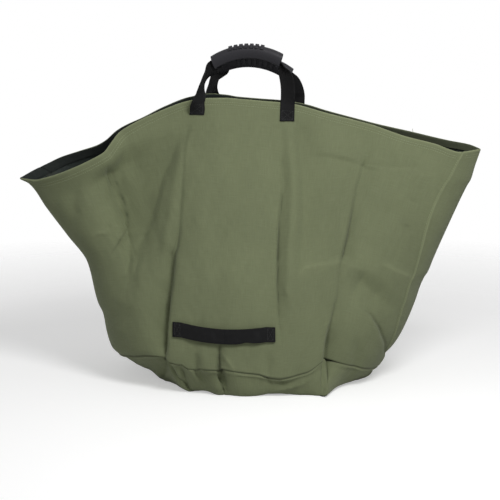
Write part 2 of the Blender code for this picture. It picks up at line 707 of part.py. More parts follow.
FRONT_TWISTS = ((math.radians(50), 0.55), (math.radians(55), 0.7))
BACK_TWISTS = ((math.radians(30), 0.6), (math.radians(35), 0.5))
FRONT_TILT = math.radians(3.3)
BACK_TILT = math.radians(-2.3)
front_handle = Handle(FRONT_WALL, FRONT_GRIP_SHIFT, FRONT_GRIP_LIFT, FRONT_GRIP_LEAN, FRONT_TILT, FRONT_TWISTS)
back_lean = resting_lean(front_handle, BACK_WALL, BACK_GRIP_LIFT)
back_handle = Handle(BACK_WALL, BACK_GRIP_SHIFT, BACK_GRIP_LIFT, back_lean, BACK_TILT, BACK_TWISTS)
for side_name, handle in (("front", front_handle), ("back", back_handle)):
    tab_names = ("left", "right") if handle.wall.front else ("right", "left")
    for tab_name, place, hinge in zip(tab_names, handle.wall.tab_places, (handle.start, handle.end)):
        tab(f"{side_name}_{tab_name}_tab", place, hinge, handle, BLACK)
    turn_about(handle_webbing(f"{side_name}_handle_webbing", handle, BLACK), handle.start)
    turn_about(grip(f"{side_name}_grip", handle, CHARCOAL), handle.start)

PULL_LEFT = PULL_SHIFT - PULL_SPAN / 2
PULL_RIGHT = PULL_SHIFT + PULL_SPAN / 2
PULL_START = PULL_LEFT + PULL_END + GAP
PULL_STOP = PULL_RIGHT - PULL_END - GAP
strap_on_wall("pull_strap_left_end", PULL_LEFT, PULL_LEFT + PULL_END, 2, 0, 0, BLACK)
strap_on_wall("pull_strap_right_end", PULL_RIGHT - PULL_END, PULL_RIGHT, 2, 0, 0, BLACK)
pull_strap = strap_on_wall("pull_strap", PULL_START, PULL_STOP, SPAN_STATIONS, PULL_STANDOFF, PULL_SAG, BLACK)
turn_about(pull_strap, pull_hinge(pull_strap))
centre_on_floor()
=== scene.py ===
"""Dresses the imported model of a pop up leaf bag: olive canvas walls with their folds and hems, a gathered
base, ribbed rubber grips on black webbing, a pull strap, the sewing, and a plain pale studio round them.

Metres, +Z up, +X to the right of someone facing the bag, its front wall towards -Y. The bag is one skin,
described by a turn round the mouth (0 at the right tip, a quarter turn at the back, three quarters at the
front) and by a rise from the base seam (0) to the rim (1)."""

import json
import math
from typing import NamedTuple

import bpy
import numpy as np
from bpy.props import FloatProperty, FloatVectorProperty, IntProperty, PointerProperty
from bpy.types import Operator, Panel, PropertyGroup
from mathutils import Matrix, Vector


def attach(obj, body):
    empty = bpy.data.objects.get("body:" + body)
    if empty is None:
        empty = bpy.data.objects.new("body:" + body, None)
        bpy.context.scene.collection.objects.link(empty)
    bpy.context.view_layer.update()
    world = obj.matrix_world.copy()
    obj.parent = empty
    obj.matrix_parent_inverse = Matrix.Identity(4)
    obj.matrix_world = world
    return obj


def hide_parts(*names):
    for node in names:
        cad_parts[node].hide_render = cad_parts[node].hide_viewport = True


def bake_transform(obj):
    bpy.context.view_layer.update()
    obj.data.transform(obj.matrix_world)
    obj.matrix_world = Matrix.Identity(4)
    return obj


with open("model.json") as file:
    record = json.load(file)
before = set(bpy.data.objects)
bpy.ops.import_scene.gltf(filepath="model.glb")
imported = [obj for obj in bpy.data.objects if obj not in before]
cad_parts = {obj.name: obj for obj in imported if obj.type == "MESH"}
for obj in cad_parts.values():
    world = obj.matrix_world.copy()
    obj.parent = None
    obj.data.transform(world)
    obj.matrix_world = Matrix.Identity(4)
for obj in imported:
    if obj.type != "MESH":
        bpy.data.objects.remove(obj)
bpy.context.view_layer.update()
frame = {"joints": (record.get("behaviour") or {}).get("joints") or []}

bl_info = {
    "name": "Leaf bag",
    "version": (1, 0, 0),
    "blender": (4, 5, 0),
    "location": "View3D > Sidebar > Leaf bag",
    "description": "Dresses the model of a floppy canvas leaf bag",
    "category": "Object",
}

# Sizes of the bag, in metres
MOUTH_WIDTH = 0.820
MOUTH_GAP = 0.052
RIM_HEIGHT = 0.500
BASE_LEFT_REACH = 0.250
BASE_RIGHT_REACH = 0.231
BASE_DEPTH = 0.390
SEAM_HEIGHT = 0.045
WALL_BULGE = 0.012
CENTRE_SHIFT = 0.0003
GAP = 0.0003
HEM_DEPTH = 0.013
BASE_LAP = 0.010
SEAM_TAPE_WIDTH = 0.020
SEAM_TAPE = 0.0008
STAY_WIDTH = 0.009
STAY = 0.001
STAY_REACH = 0.365
STAY_PLAY = 0.0005
FOOT_LEFT_REACH = 0.152
FOOT_RIGHT_REACH = 0.205
FOOT_DEPTH = 0.344

WEBBING_WIDTH = 0.025
WEBBING = 0.0016
TAB_LENGTH = 0.034
GRIP_LENGTH = 0.125
GRIP_RISE = 0.020
GRIP_DEPTH = 0.019
GRIP_HEIGHT = 0.0235
GRIP_SLOT = 0.0076

PULL_SPAN = 0.172
PULL_SHIFT = -0.045
PULL_HEIGHT = 0.1096
PULL_DROP = 0.0062
PULL_SAG = 0.006
PULL_END = 0.014
PULL_STANDOFF = 0.0022

# The pull strap's slow wave, and where its lower edge curls in, how wide that is and how much of it
PULL_WAVE = 0.0006
PULL_CURL = -0.0065
PULL_CURL_WIDTH = 0.010
PULL_CURL_SHARE = 0.2

HALF_MOUTH = MOUTH_WIDTH / 2
SEAM_TURN = math.radians(23)
RIGHT_SEAM = 2 * math.pi - SEAM_TURN
LEFT_SEAM = math.pi - SEAM_TURN

# Outlines, as shares of the sizes above
LEFT_EDGE_SHARES = (
    (0, -0.056), (0.03, 0), (0.11, 0.05), (0.22, 0.09), (0.29, 0.15), (0.52, 0.262), (0.68, 0.49),
    (0.84, 0.72), (0.975, 0.905), (1, 1),
)
RIGHT_EDGE_SHARES = (
    (0, 0), (0.14, 0.215), (0.3, 0.365), (0.375, 0.418), (0.415, 0.458), (0.435, 0.488), (0.5, 0.545),
    (0.68, 0.715), (0.835, 0.87), (0.865, 0.908), (0.93, 0.95), (1, 1),
)
FRONT_RIM_SHARES = (
    (-1, 0.702), (-0.94, 0.701), (-0.87, 0.716), (-0.77, 0.748), (-0.655, 0.793), (-0.62, 0.81),
    (-0.6, 0.832), (-0.56, 0.873), (-0.5, 0.903), (-0.39, 0.945), (-0.285, 0.978), (-0.24, 0.987),
    (-0.18, 0.993), (-0.11, 0.994), (-0.03, 0.989), (0.07, 0.982), (0.13, 0.978), (0.19, 0.971),
    (0.33, 0.939), (0.46, 0.912), (0.53, 0.897), (0.66, 0.861), (0.79, 0.834), (0.91, 0.803), (1, 0.807),
)
BACK_RIM_SHARES = (
    (-1, 0.702), (-0.955, 0.722), (-0.9, 0.742), (-0.83, 0.769), (-0.75, 0.791), (-0.67, 0.814),
    (-0.63, 0.834), (-0.58, 0.871), (-0.54, 0.891), (-0.47, 0.917), (-0.37, 0.958), (-0.26, 0.991),
    (-0.17, 1.001), (-0.1, 0.997), (-0.06, 0.991), (0, 0.9865), (0.07, 0.982), (0.13, 0.9785),
    (0.24, 0.9645), (0.33, 0.943), (0.46, 0.9145), (0.54, 0.897), (0.7, 0.866), (0.87, 0.833),
    (0.955, 0.8206), (1, 0.807),
)
FRONT_LEAN_SHARES = ((0, 0), (0.3, 0.235), (0.5, 0.47), (0.7, 0.72), (1, 1))
FRONT_TOP_SHARES = (
    (-1, 0.702), (-0.8, 0.742), (-0.6, 0.838), (-0.4, 0.938), (-0.24, 0.987), (-0.1, 0.994),
    (0.13, 0.978), (0.46, 0.91), (0.79, 0.834), (1, 0.807),
)
BACK_TOP_SHARES = (
    (-1, 0.702), (-0.8, 0.774), (-0.6, 0.86), (-0.4, 0.945), (-0.2, 0.999), (0, 0.9865), (0.46, 0.9145),
    (0.79, 0.849), (1, 0.807),
)
FRONT_MOUTH_SHARES = (
    (-1, 0.87), (-0.88, 1.5), (-0.78, 1.65), (-0.66, 1.42), (-0.6, 0.92), (-0.55, 0.4), (-0.43, 0.27),
    (-0.3, 0.33), (-0.15, 0.5), (0.12, 0.49), (0.28, 0.37), (0.43, 0.35), (0.6, 0.68), (0.78, 1.04),
    (0.91, 1.33), (1, 0.87),
)
FRONT_BODY_SHARES = (
    (-1, 0.87), (-0.88, 1.42), (-0.8, 1.4), (-0.71, 1.05), (-0.62, 0.6), (-0.55, 0.46), (-0.43, 0.46),
    (-0.3, 0.5), (0.3, 0.45), (0.6, 0.7), (0.85, 1), (1, 0.87),
)
BACK_MOUTH_SHARES = (
    (-1, 0.87), (-0.88, 1.75), (-0.75, 1.4), (-0.66, 0.95), (-0.58, 0.34), (-0.43, 0.24), (-0.3, 0.3),
    (-0.15, 0.46), (0.1, 0.44), (0.39, 0.3), (0.55, 0.38), (0.75, 0.68), (0.91, 0.92), (1, 0.87),
)
FRONT_SEAM_SHARES = (
    (-1, 1.04), (-0.72, 1.36), (-0.57, 1.28), (-0.38, 1.05), (-0.2, 1.07), (0, 0.95), (0.21, 0.8),
    (0.4, 0.9), (0.57, 1.29), (0.7, 1.07), (0.83, 0.8), (0.93, 0.6), (1, 0.46),
)
BACK_SEAM_SHARES = ((-1, 1.04), (-0.6, 1.15), (0, 1), (0.5, 1.05), (0.8, 0.75), (1, 0.46))
SEAM_DRIFT = math.radians(5.5)
SEAM_DRIFT_SHARES = (
    (0, -2.6), (0.04, -2.4), (0.1, -1.2), (0.2, -0.3), (0.3, 0.1), (0.5, 0.45), (0.7, 1), (0.85, 0.75),
    (1, 0.1),
)
FOOT_FRONT_SHARES = (
    (-1, 1), (-0.8, 0.96), (-0.7, 1.05), (-0.66, 1.12), (-0.6, 1.04), (-0.3, 1), (0.2, 1), (0.42, 1.06),
    (0.56, 1.24), (0.605, 1.35), (0.645, 1.22), (0.72, 0.98), (0.85, 0.78), (0.93, 0.8), (1, 1),
)

# How far the border's knee reaches past the edge of the foot, and how hard it pulls the border out to it
FOOT_KNEE_SHARE = 1.09
FOOT_KNEE_PULL = 2.2

# How soon things fade away from the rim, the seams and the tips: 5 means gone a fifth of the way down
RIM_REACH = 5
RIM_SHAPE_REACH = 4.5
HEM_REACH = 11
HEM_START = 0.25
SEAM_JOG_REACH = 8
SIDE_REACH = 2.2
SIDE_START = 0.3
TIP_CROWDING = 0.35
SEAM_DRIFT_WIDTH = 0.35
BULGE_MIDDLE_SHARE = 0.4

# The side seams' ridge of four layers of cloth, and how much narrower the bag is at its foot
SEAM_RIDGE = 0.0013
SEAM_RIDGE_WIDTH = 0.004
SEAM_FOOT_SHARE = 0.6

# Waves of slack cloth: fewest and most to the metre, and their height in metres
WAVES = ((5, 11, 0.0011), (14, 30, 0.00035), (40, 80, 0.00012))
WAVES_OF_A_KIND = 7
WAVE_SLANT = 0.55
FRONT_WAVE_SEED = 3
BACK_WAVE_SEED = 8
BASE_WAVE_SEED = 21

# How boxy the front is round its sides: 1 is an ellipse seen from above, less is boxier
FRONT_FLATNESS = 0.74

# How far the base seam jogs up or down from its smooth line, in metres, at places across the front
SEAM_JOGS = (
    (-0.25, 0), (-0.21, -0.002), (-0.175, 0.0015), (-0.151, 0.002), (-0.144, -0.002), (-0.128, -0.0015),
    (-0.121, 0.0015), (-0.112, -0.002), (-0.096, -0.001), (-0.09, 0.001), (-0.056, -0.001),
    (-0.053, 0.002), (-0.03, -0.0005), (0.016, 0.001), (0.03, -0.001), (0.052, -0.003), (0.09, 0),
    (0.112, -0.0005), (0.13, 0.0015), (0.155, 0), (0.23, 0),
)


class Fold(NamedTuple):
    """A fold in metres: depth, width before and after its path, power, and path of (across, up, strength).

    The width before is left of a path that runs down, or below one that runs right. A power of 1 makes a
    sharp crease, 2 a round one. A negative depth makes a ridge."""

    depth: float
    before: float
    after: float
    power: float
    path: tuple


FRONT_FOLDS = (
    # The lobe's deep valley, from the step in the rim down to the star of small creases
    Fold(0.03, 0.045, 0.075, 1.15, (
        (-0.262, 0.46, 0.05), (-0.256, 0.412, 0.35), (-0.245, 0.37, 0.8), (-0.232, 0.335, 1),
        (-0.2225, 0.311, 1), (-0.2165, 0.287, 1), (-0.2145, 0.272, 0.95), (-0.2135, 0.24, 0.75),
        (-0.217, 0.2, 0.45), (-0.226, 0.15, 0.2), (-0.235, 0.1, 0),
    )),
    # The long shallow fold from the left tab to the valley's foot, and the ridge beside it
    Fold(0.009, 0.05, 0.013, 1.5, (
        (-0.108, 0.482, 0), (-0.126, 0.439, 0.5), (-0.142, 0.401, 0.85), (-0.162, 0.363, 1),
        (-0.174, 0.32, 1), (-0.184, 0.288, 1), (-0.198, 0.24, 0.9), (-0.21, 0.19, 0.6), (-0.22, 0.15, 0),
    )),
    Fold(-0.004, 0.012, 0.01, 2, (
        (-0.112, 0.446, 0), (-0.121, 0.396, 0.7), (-0.131, 0.356, 1), (-0.139, 0.315, 1),
        (-0.147, 0.275, 0.8), (-0.153, 0.225, 0.3), (-0.155, 0.19, 0),
    )),
    # The sharp crease along the middle panel's left edge, and the cloth that opens at its foot
    Fold(0.017, 0.017, 0.003, 1, (
        (-0.101, 0.47, 0), (-0.115, 0.423, 0.16), (-0.119, 0.369, 0.2), (-0.123, 0.316, 0.2),
        (-0.125, 0.276, 0.25), (-0.129, 0.249, 0.42), (-0.135, 0.236, 0.7), (-0.1365, 0.191, 0.6),
        (-0.143, 0.15, 0.5), (-0.146, 0.103, 0.45), (-0.147, 0.08, 0.4), (-0.147, 0.062, 0),
    )),
    Fold(0.016, 0.018, 0.0045, 1.2, (
        (-0.137, 0.245, 0), (-0.1405, 0.215, 0.6), (-0.1445, 0.17, 1), (-0.148, 0.12, 1),
        (-0.149, 0.085, 1), (-0.149, 0.055, 0.5),
    )),
    # Two small dents beside that foot
    Fold(0.003, 0.01, 0.006, 2, ((-0.151, 0.2, 0), (-0.153, 0.178, 1), (-0.155, 0.155, 0))),
    Fold(0.003, 0.01, 0.006, 2, ((-0.154, 0.125, 0), (-0.155, 0.108, 1), (-0.157, 0.092, 0))),
    # The crease at the bottom of the lobe's valley
    Fold(0.0085, 0.005, 0.026, 1, (
        (-0.256, 0.412, 0.1), (-0.245, 0.37, 0.5), (-0.232, 0.335, 0.85), (-0.2225, 0.311, 1),
        (-0.2165, 0.287, 1), (-0.2145, 0.274, 0.4),
    )),
    # The star of small creases where the valley ends
    Fold(-0.0034, 0.004, 0.005, 1, (
        (-0.285, 0.256, 0), (-0.268, 0.265, 0.7), (-0.252, 0.267, 0.8), (-0.238, 0.2645, 0.5),
        (-0.2145, 0.274, 0.15),
    )),
    Fold(0.0042, 0.005, 0.004, 1, ((-0.262, 0.268, 0), (-0.242, 0.265, 1), (-0.229, 0.255, 0))),
    Fold(0.004, 0.005, 0.005, 2, ((-0.253, 0.283, 0), (-0.247, 0.28, 1), (-0.243, 0.276, 0))),
    Fold(0.0085, 0.006, 0.005, 1, ((-0.248, 0.222, 0), (-0.231, 0.248, 1), (-0.2155, 0.272, 0.4))),
    Fold(0.005, 0.006, 0.004, 1, ((-0.2145, 0.274, 0.5), (-0.217, 0.226, 0.7), (-0.231, 0.18, 0))),
    # The hollow under the step in the rim, and a soft one near the left outline
    Fold(0.009, 0.05, 0.028, 2, (
        (-0.245, 0.395, 0.2), (-0.22, 0.392, 1), (-0.18, 0.394, 0.9), (-0.13, 0.41, 0),
    )),
    Fold(0.0035, 0.012, 0.012, 2, ((-0.308, 0.34, 0), (-0.312, 0.3, 1), (-0.322, 0.255, 0))),
    # The crease down the middle panel's right edge, with a ridge and a hollow beside it
    Fold(0.008, 0.0025, 0.008, 1, (
        (0.056, 0.41, 0), (0.057, 0.385, 0.5), (0.0585, 0.352, 0.35), (0.057, 0.34, 0.5),
        (0.051, 0.284, 0.8), (0.048, 0.229, 1), (0.048, 0.175, 0.8), (0.049, 0.135, 0.5),
        (0.052, 0.105, 0.25), (0.056, 0.08, 0),
    )),
    Fold(-0.006, 0.009, 0.012, 2, (
        (0.062, 0.48, 0), (0.068, 0.44, 0.8), (0.073, 0.38, 0.9), (0.074, 0.338, 1), (0.071, 0.283, 1),
        (0.066, 0.228, 1), (0.066, 0.174, 0.8), (0.07, 0.11, 0),
    )),
    Fold(0.0095, 0.01, 0.03, 2, (
        (0.082, 0.475, 0.2), (0.09, 0.44, 0.7), (0.094, 0.4, 0.9), (0.097, 0.323, 1), (0.096, 0.282, 0.9),
        (0.09, 0.227, 0.6), (0.088, 0.16, 0),
    )),
    # The crease from the rim down the right side to the wedge at its foot, and its lip
    Fold(0.0036, 0.006, 0.008, 1, ((0.219, 0.448, 0.3), (0.212, 0.42, 1), (0.199, 0.384, 0.8))),
    Fold(0.0115, 0.003, 0.03, 1, (
        (0.199, 0.384, 0.25), (0.185, 0.342, 0.45), (0.179, 0.309, 0.6), (0.17, 0.267, 0.9),
        (0.162, 0.237, 1), (0.156, 0.222, 0.35), (0.153, 0.2, 0.3), (0.151, 0.168, 0.35),
        (0.145, 0.15, 0.5), (0.137, 0.114, 0.7), (0.133, 0.086, 1), (0.131, 0.05, 0.9),
    )),
    Fold(-0.003, 0.014, 0.007, 2, (
        (0.186, 0.365, 0), (0.172, 0.32, 0.8), (0.16, 0.262, 1), (0.15, 0.235, 0.6), (0.142, 0.19, 0),
    )),
    Fold(0.012, 0.003, 0.022, 1.3, (
        (0.138, 0.125, 0), (0.134, 0.09, 0.7), (0.132, 0.06, 1), (0.131, 0.03, 1),
    )),
    # The level crease across the right side
    Fold(0.0055, 0.022, 0.0025, 1, (
        (0.1, 0.401, 0), (0.13, 0.399, 0.5), (0.168, 0.392, 1), (0.198, 0.384, 0.8),
    )),
    Fold(0.0048, 0.0025, 0.016, 1, (
        (0.2, 0.387, 0.7), (0.244, 0.381, 1), (0.291, 0.377, 0.6), (0.315, 0.36, 0),
    )),
    # Two low ridges that run out to the right, and the broad hollow under them
    Fold(-0.0034, 0.006, 0.004, 1, (
        (0.078, 0.2, 0), (0.097, 0.216, 0.9), (0.12, 0.2195, 0.7), (0.143, 0.222, 0.8), (0.157, 0.224, 1),
    )),
    Fold(-0.004, 0.008, 0.004, 1, (
        (0.222, 0.222, 0), (0.24, 0.213, 0.7), (0.262, 0.199, 1), (0.287, 0.187, 0.7),
    )),
    Fold(0.015, 0.03, 0.018, 2, (
        (0.165, 0.205, 0), (0.193, 0.19, 1), (0.225, 0.165, 1), (0.255, 0.13, 0.3),
    )),
    # The crease out to the right foot, and its lip
    Fold(0.01, 0.003, 0.022, 1, (
        (0.185, 0.148, 0), (0.211, 0.131, 0.6), (0.227, 0.104, 1), (0.239, 0.072, 1), (0.244, 0.036, 0.8),
    )),
    Fold(-0.0028, 0.006, 0.003, 1, (
        (0.182, 0.15, 0), (0.208, 0.132, 1), (0.224, 0.105, 1), (0.238, 0.07, 0.5),
    )),
    # Pleats that run up from the base seam
    Fold(0.012, 0.0035, 0.005, 1, (
        (-0.05, 0.1, 0.2), (-0.053, 0.082, 0.7), (-0.054, 0.062, 1), (-0.055, 0.04, 1),
    )),
    Fold(-0.0036, 0.003, 0.004, 1, (
        (-0.05, 0.077, 0.4), (-0.04, 0.066, 1), (-0.03, 0.052, 0.6), (-0.024, 0.044, 0),
    )),
    Fold(0.004, 0.006, 0.006, 2, ((-0.09, 0.075, 0), (-0.094, 0.058, 1), (-0.096, 0.046, 1))),
    Fold(-0.0035, 0.008, 0.01, 2, ((-0.082, 0.095, 0), (-0.08, 0.07, 1), (-0.078, 0.046, 0.8))),
    Fold(0.003, 0.008, 0.008, 2, ((0.026, 0.085, 0), (0.03, 0.06, 1), (0.031, 0.042, 1))),
    Fold(0.0045, 0.01, 0.01, 2, ((0.19, 0.1, 0), (0.186, 0.07, 0.8), (0.185, 0.04, 1))),
    # Small dents and rubbed creases
    Fold(-0.0026, 0.004, 0.004, 1, ((0.055, 0.19, 0), (0.062, 0.178, 1), (0.074, 0.165, 0))),
    Fold(0.0026, 0.004, 0.004, 1, ((0.268, 0.33, 0), (0.283, 0.322, 1), (0.296, 0.312, 0))),
    Fold(0.0032, 0.006, 0.006, 1, ((0.262, 0.284, 0), (0.276, 0.275, 1), (0.292, 0.264, 0))),
    Fold(0.003, 0.02, 0.02, 2, ((0.2, 0.31, 0), (0.235, 0.3, 1), (0.275, 0.3, 0))),
    Fold(0.003, 0.01, 0.01, 2, ((-0.26, 0.17, 0), (-0.24, 0.14, 1), (-0.235, 0.1, 0))),
    Fold(0.003, 0.006, 0.006, 1, ((0.1, 0.479, 0.5), (0.112, 0.455, 0.9), (0.128, 0.432, 0))),
)

# The back wall's folds are plainer
BACK_FOLDS = (
    Fold(0.008, 0.026, 0.018, 2, (
        (0.105, 0.46, 0), (0.135, 0.38, 0.9), (0.168, 0.29, 1), (0.2, 0.21, 0.5), (0.21, 0.15, 0),
    )),
    Fold(0.007, 0.0025, 0.02, 1, (
        (0.112, 0.43, 0), (0.125, 0.31, 0.4), (0.136, 0.21, 0.9), (0.14, 0.1, 1), (0.142, 0.04, 0.8),
    )),
    Fold(0.0045, 0.007, 0.0025, 1, (
        (-0.062, 0.44, 0), (-0.06, 0.34, 0.7), (-0.05, 0.2, 1), (-0.055, 0.11, 0),
    )),
    Fold(-0.003, 0.016, 0.01, 2, ((-0.08, 0.44, 0), (-0.08, 0.34, 1), (-0.07, 0.2, 1), (-0.07, 0.11, 0))),
    Fold(0.006, 0.028, 0.002, 1, (
        (-0.205, 0.41, 0.2), (-0.18, 0.31, 0.6), (-0.16, 0.22, 1), (-0.14, 0.12, 0.8),
        (-0.133, 0.04, 0.8),
    )),
    Fold(0.0024, 0.016, 0.0025, 1, ((-0.29, 0.375, 0), (-0.2, 0.385, 1), (-0.1, 0.4, 0))),
    Fold(0.0036, 0.005, 0.014, 1, (
        (0.245, 0.39, 0.2), (0.23, 0.33, 0.8), (0.21, 0.27, 1), (0.195, 0.22, 0),
    )),
    Fold(0.0045, 0.018, 0.018, 2, ((-0.16, 0.2, 0), (-0.2, 0.185, 1), (-0.26, 0.16, 0))),
    Fold(0.006, 0.003, 0.004, 1, ((0.03, 0.12, 0), (0.034, 0.08, 0.8), (0.036, 0.03, 1))),
)

# Pleats of the base's border
BASE_PLEATS = (
    Fold(0.011, 0.01, 0.004, 1, (
        (-0.147, 0.075, 1), (-0.148, 0.04, 1), (-0.152, 0.01, 0.5), (-0.154, 0, 0),
    )),
    Fold(-0.01, 0.014, 0.012, 2, ((-0.158, 0.04, 0), (-0.157, 0.02, 0.8), (-0.156, 0, 1))),
    Fold(0.012, 0.0022, 0.0045, 1, (
        (-0.054, 0.06, 1), (-0.05, 0.028, 1), (-0.046, 0.008, 0.8), (-0.044, 0, 0),
    )),
    Fold(-0.007, 0.016, 0.012, 2, ((-0.056, 0.03, 0), (-0.054, 0.015, 0.8), (-0.05, 0, 1))),
    Fold(0.01, 0.0025, 0.014, 1, (
        (0.131, 0.07, 1), (0.132, 0.03, 0.9), (0.133, 0.012, 0.5), (0.134, 0, 0),
    )),
    Fold(0.0075, 0.004, 0.004, 1, ((-0.121, 0.056, 0.4), (-0.115, 0.035, 1), (-0.107, 0.008, 0.5))),
    Fold(-0.004, 0.006, 0.004, 1, ((-0.128, 0.05, 0), (-0.121, 0.034, 1), (-0.113, 0.01, 0.3))),
    Fold(0.0055, 0.004, 0.005, 1, ((0.028, 0.038, 1), (0.033, 0.028, 0.8), (0.042, 0.016, 0))),
    Fold(-0.0045, 0.004, 0.005, 1, (
        (0.03, 0.006, 0), (0.055, 0.012, 1), (0.088, 0.021, 0.8), (0.112, 0.034, 0),
    )),
    Fold(0.0045, 0.006, 0.006, 2, ((0.03, 0.033, 0), (0.055, 0.024, 1), (0.085, 0.028, 0))),
    Fold(0.004, 0.008, 0.008, 2, ((-0.09, 0.05, 1), (-0.084, 0.025, 0.6), (-0.08, 0, 0))),
)


# Curves and frames

def through(pairs, at):
    """A smooth curve through pairs of shares that never overshoots them."""
    xs, ys = np.array(pairs, float).T
    steps = np.diff(xs)
    slopes = np.diff(ys) / steps
    same_way = slopes[:-1] * slopes[1:] > 0
    total = np.where(same_way, slopes[:-1] + slopes[1:], 1)
    inner = np.where(same_way, 2 * slopes[:-1] * slopes[1:] / total, 0)
    tangents = np.concatenate([slopes[:1], inner, slopes[-1:]])
    k = np.clip(np.searchsorted(xs, at, side="right") - 1, 0, len(steps) - 1)
    u = np.clip((at - xs[k]) / steps[k], 0, 1)
    rise = ys[k] + (ys[k + 1] - ys[k]) * u * u * (3 - 2 * u)
    return rise + steps[k] * (tangents[k] * u * (1 - u) ** 2 - tangents[k + 1] * u * u * (1 - u))


def mix(a, b, share):
    return a + (b - a) * share


def smooth_step(value):
    value = np.clip(value, 0, 1)
    return value * value * (3 - 2 * value)


def unit(vectors):
    return vectors / np.maximum(np.linalg.norm(vectors, axis=-1, keepdims=True), 1e-12)


def run_length(points, axis):
    """Distances along a grid of points, from its first row or column."""
    steps = np.linalg.norm(np.diff(points, axis=axis), axis=-1)
    lead = [(0, 0)] * steps.ndim
    lead[axis] = (1, 0)
    return np.cumsum(np.pad(steps, lead), axis=axis)


# The bag's skin

def turn_past(turn, place):
    """How far a turn lies past a place, at most half a turn either way."""
    return (turn - place + math.pi) % (2 * math.pi) - math.pi


def near_rim(rise, reach):
    """1 at the rim, fading to 0 below it."""
    return smooth_step(rise * reach - reach + 1)


def wide_sides(turn):
    """1 over the wide front and back, fading to 0 round both tips."""
    return smooth_step(np.abs(np.sin(turn)) * SIDE_REACH - SIDE_START)


def seam_height(turn):
    """Height of the seam between the walls and the base, without its small jogs."""
    across = np.cos(turn)
    front, back = through(FRONT_SEAM_SHARES, across), through(BACK_SEAM_SHARES, across)
    share = np.where(np.sin(turn) < 0, front, back)
    return SEAM_HEIGHT * share


def seam_jog(turn, rise):
    """Small steps in the front seam, which die out a little way up the wall."""
    across = np.cos(turn)
    reach = np.where(across < 0, BASE_LEFT_REACH, BASE_RIGHT_REACH)
    places, jogs = np.array(SEAM_JOGS).T
    jog = np.where(np.sin(turn) < 0, np.interp(across * reach, places, jogs), 0)
    return jog * np.clip(1 - rise * SEAM_JOG_REACH, 0, 1) ** 2


def plain_skin(turn, rise):
    """The bag's middle surface before its folds."""
    turn, rise = np.broadcast_arrays(np.asarray(turn, float), np.asarray(rise, float))
    drift = SEAM_DRIFT * through(SEAM_DRIFT_SHARES, rise)
    turn = turn - drift * np.exp(-((turn_past(turn, RIGHT_SEAM) / SEAM_DRIFT_WIDTH) ** 2))
    across, front = np.cos(turn), np.sin(turn) < 0
    left = mix(BASE_LEFT_REACH, HALF_MOUTH, through(LEFT_EDGE_SHARES, rise))
    right = mix(BASE_RIGHT_REACH, HALF_MOUTH, through(RIGHT_EDGE_SHARES, rise))
    reach = np.where(across < 0, left, right)
    mouth = np.where(front, through(FRONT_MOUTH_SHARES, across), through(BACK_MOUTH_SHARES, across))
    body = np.where(front, through(FRONT_BODY_SHARES, across), mouth)
    mouth = mix(body, mouth, near_rim(rise, RIM_SHAPE_REACH))
    bulge = WALL_BULGE * 4 * rise * (1 - rise) * (BULGE_MIDDLE_SHARE + across**2)
    lean = np.where(front, through(FRONT_LEAN_SHARES, rise), rise)
    depth = mix(BASE_DEPTH / 2, MOUTH_GAP * mouth, lean) + bulge
    rim = np.where(front, through(FRONT_RIM_SHARES, across), through(BACK_RIM_SHARES, across))
    below = np.where(front, through(FRONT_TOP_SHARES, across), through(BACK_TOP_SHARES, across))
    top = RIM_HEIGHT * mix(below, rim, near_rim(rise, RIM_REACH))
    height = mix(seam_height(turn), top, rise) + seam_jog(turn, rise)
    flatness = mix(FRONT_FLATNESS, 1, near_rim(rise, RIM_REACH))
    around = np.where(front, -np.abs(np.sin(turn)) ** flatness, np.sin(turn))
    return np.stack([across * reach + CENTRE_SHIFT, around * depth, height], axis=-1)


def outward(surface, turn, rise):
    """Unit normals of a surface of turn and rise, pointing out of the bag."""
    step = 1e-3
    low, high = np.clip(rise - step, 0, 1), np.clip(rise + step, 0, 1)
    along = surface(turn + step, rise) - surface(turn - step, rise)
    up = surface(turn, high) - surface(turn, low)
    return unit(np.cross(along, up))


def fold_relief(points, folds):
    """How far folds set the cloth back at points of a wall or of the base, seen square on."""
    across, up = points[..., 0], points[..., 2]
    drop = np.zeros(across.shape)
    for depth, before, after, power, path in folds:
        nearest = np.full(across.shape, np.inf)
        relief = np.zeros(across.shape)
        for (x0, z0, s0), (x1, z1, s1) in zip(path, path[1:]):
            dx, dz = x1 - x0, z1 - z0
            length = math.hypot(dx, dz)
            u = ((across - x0) * dx + (up - z0) * dz) / length**2
            on = np.clip(u, 0, 1)
            past = np.abs(u - on) * length
            beside = ((up - z0) * dx - (across - x0) * dz) / length
            far = np.hypot(past, beside)
            width = np.where(beside < 0, before, after)
            value = mix(s0, s1, on) * np.exp(-((far / width) ** power))
            relief = np.where(far < nearest, value, relief)
            nearest = np.minimum(far, nearest)
        drop += depth * relief
    return drop


def ripples(points, seed):
    """Slow waves of slack cloth, mostly running up and down, about a millimetre high."""
    draw = np.random.default_rng(seed)
    height = np.zeros(points.shape[:-1])
    for fewest, most, size in WAVES:
        for _ in range(WAVES_OF_A_KIND):
            across = draw.uniform(fewest, most) * draw.choice([-1, 1])
            up = draw.uniform(-WAVE_SLANT, WAVE_SLANT) * most
            phase = draw.uniform(0, 2 * math.pi)
            place = points[..., 0] * across + points[..., 2] * up
            height += size * np.sin(2 * math.pi * place + phase) / 2
    return height


def seam_ridge(turn, rise):
    """The side seams stand up as a soft ridge where four layers of cloth lie together."""
    ridge = 0
    for seam in (RIGHT_SEAM, LEFT_SEAM):
        distance = turn_past(turn, seam) * HALF_MOUTH * mix(SEAM_FOOT_SHARE, 1, rise)
        ridge = ridge + SEAM_RIDGE * np.exp(-((distance / SEAM_RIDGE_WIDTH) ** 2))
    return ridge


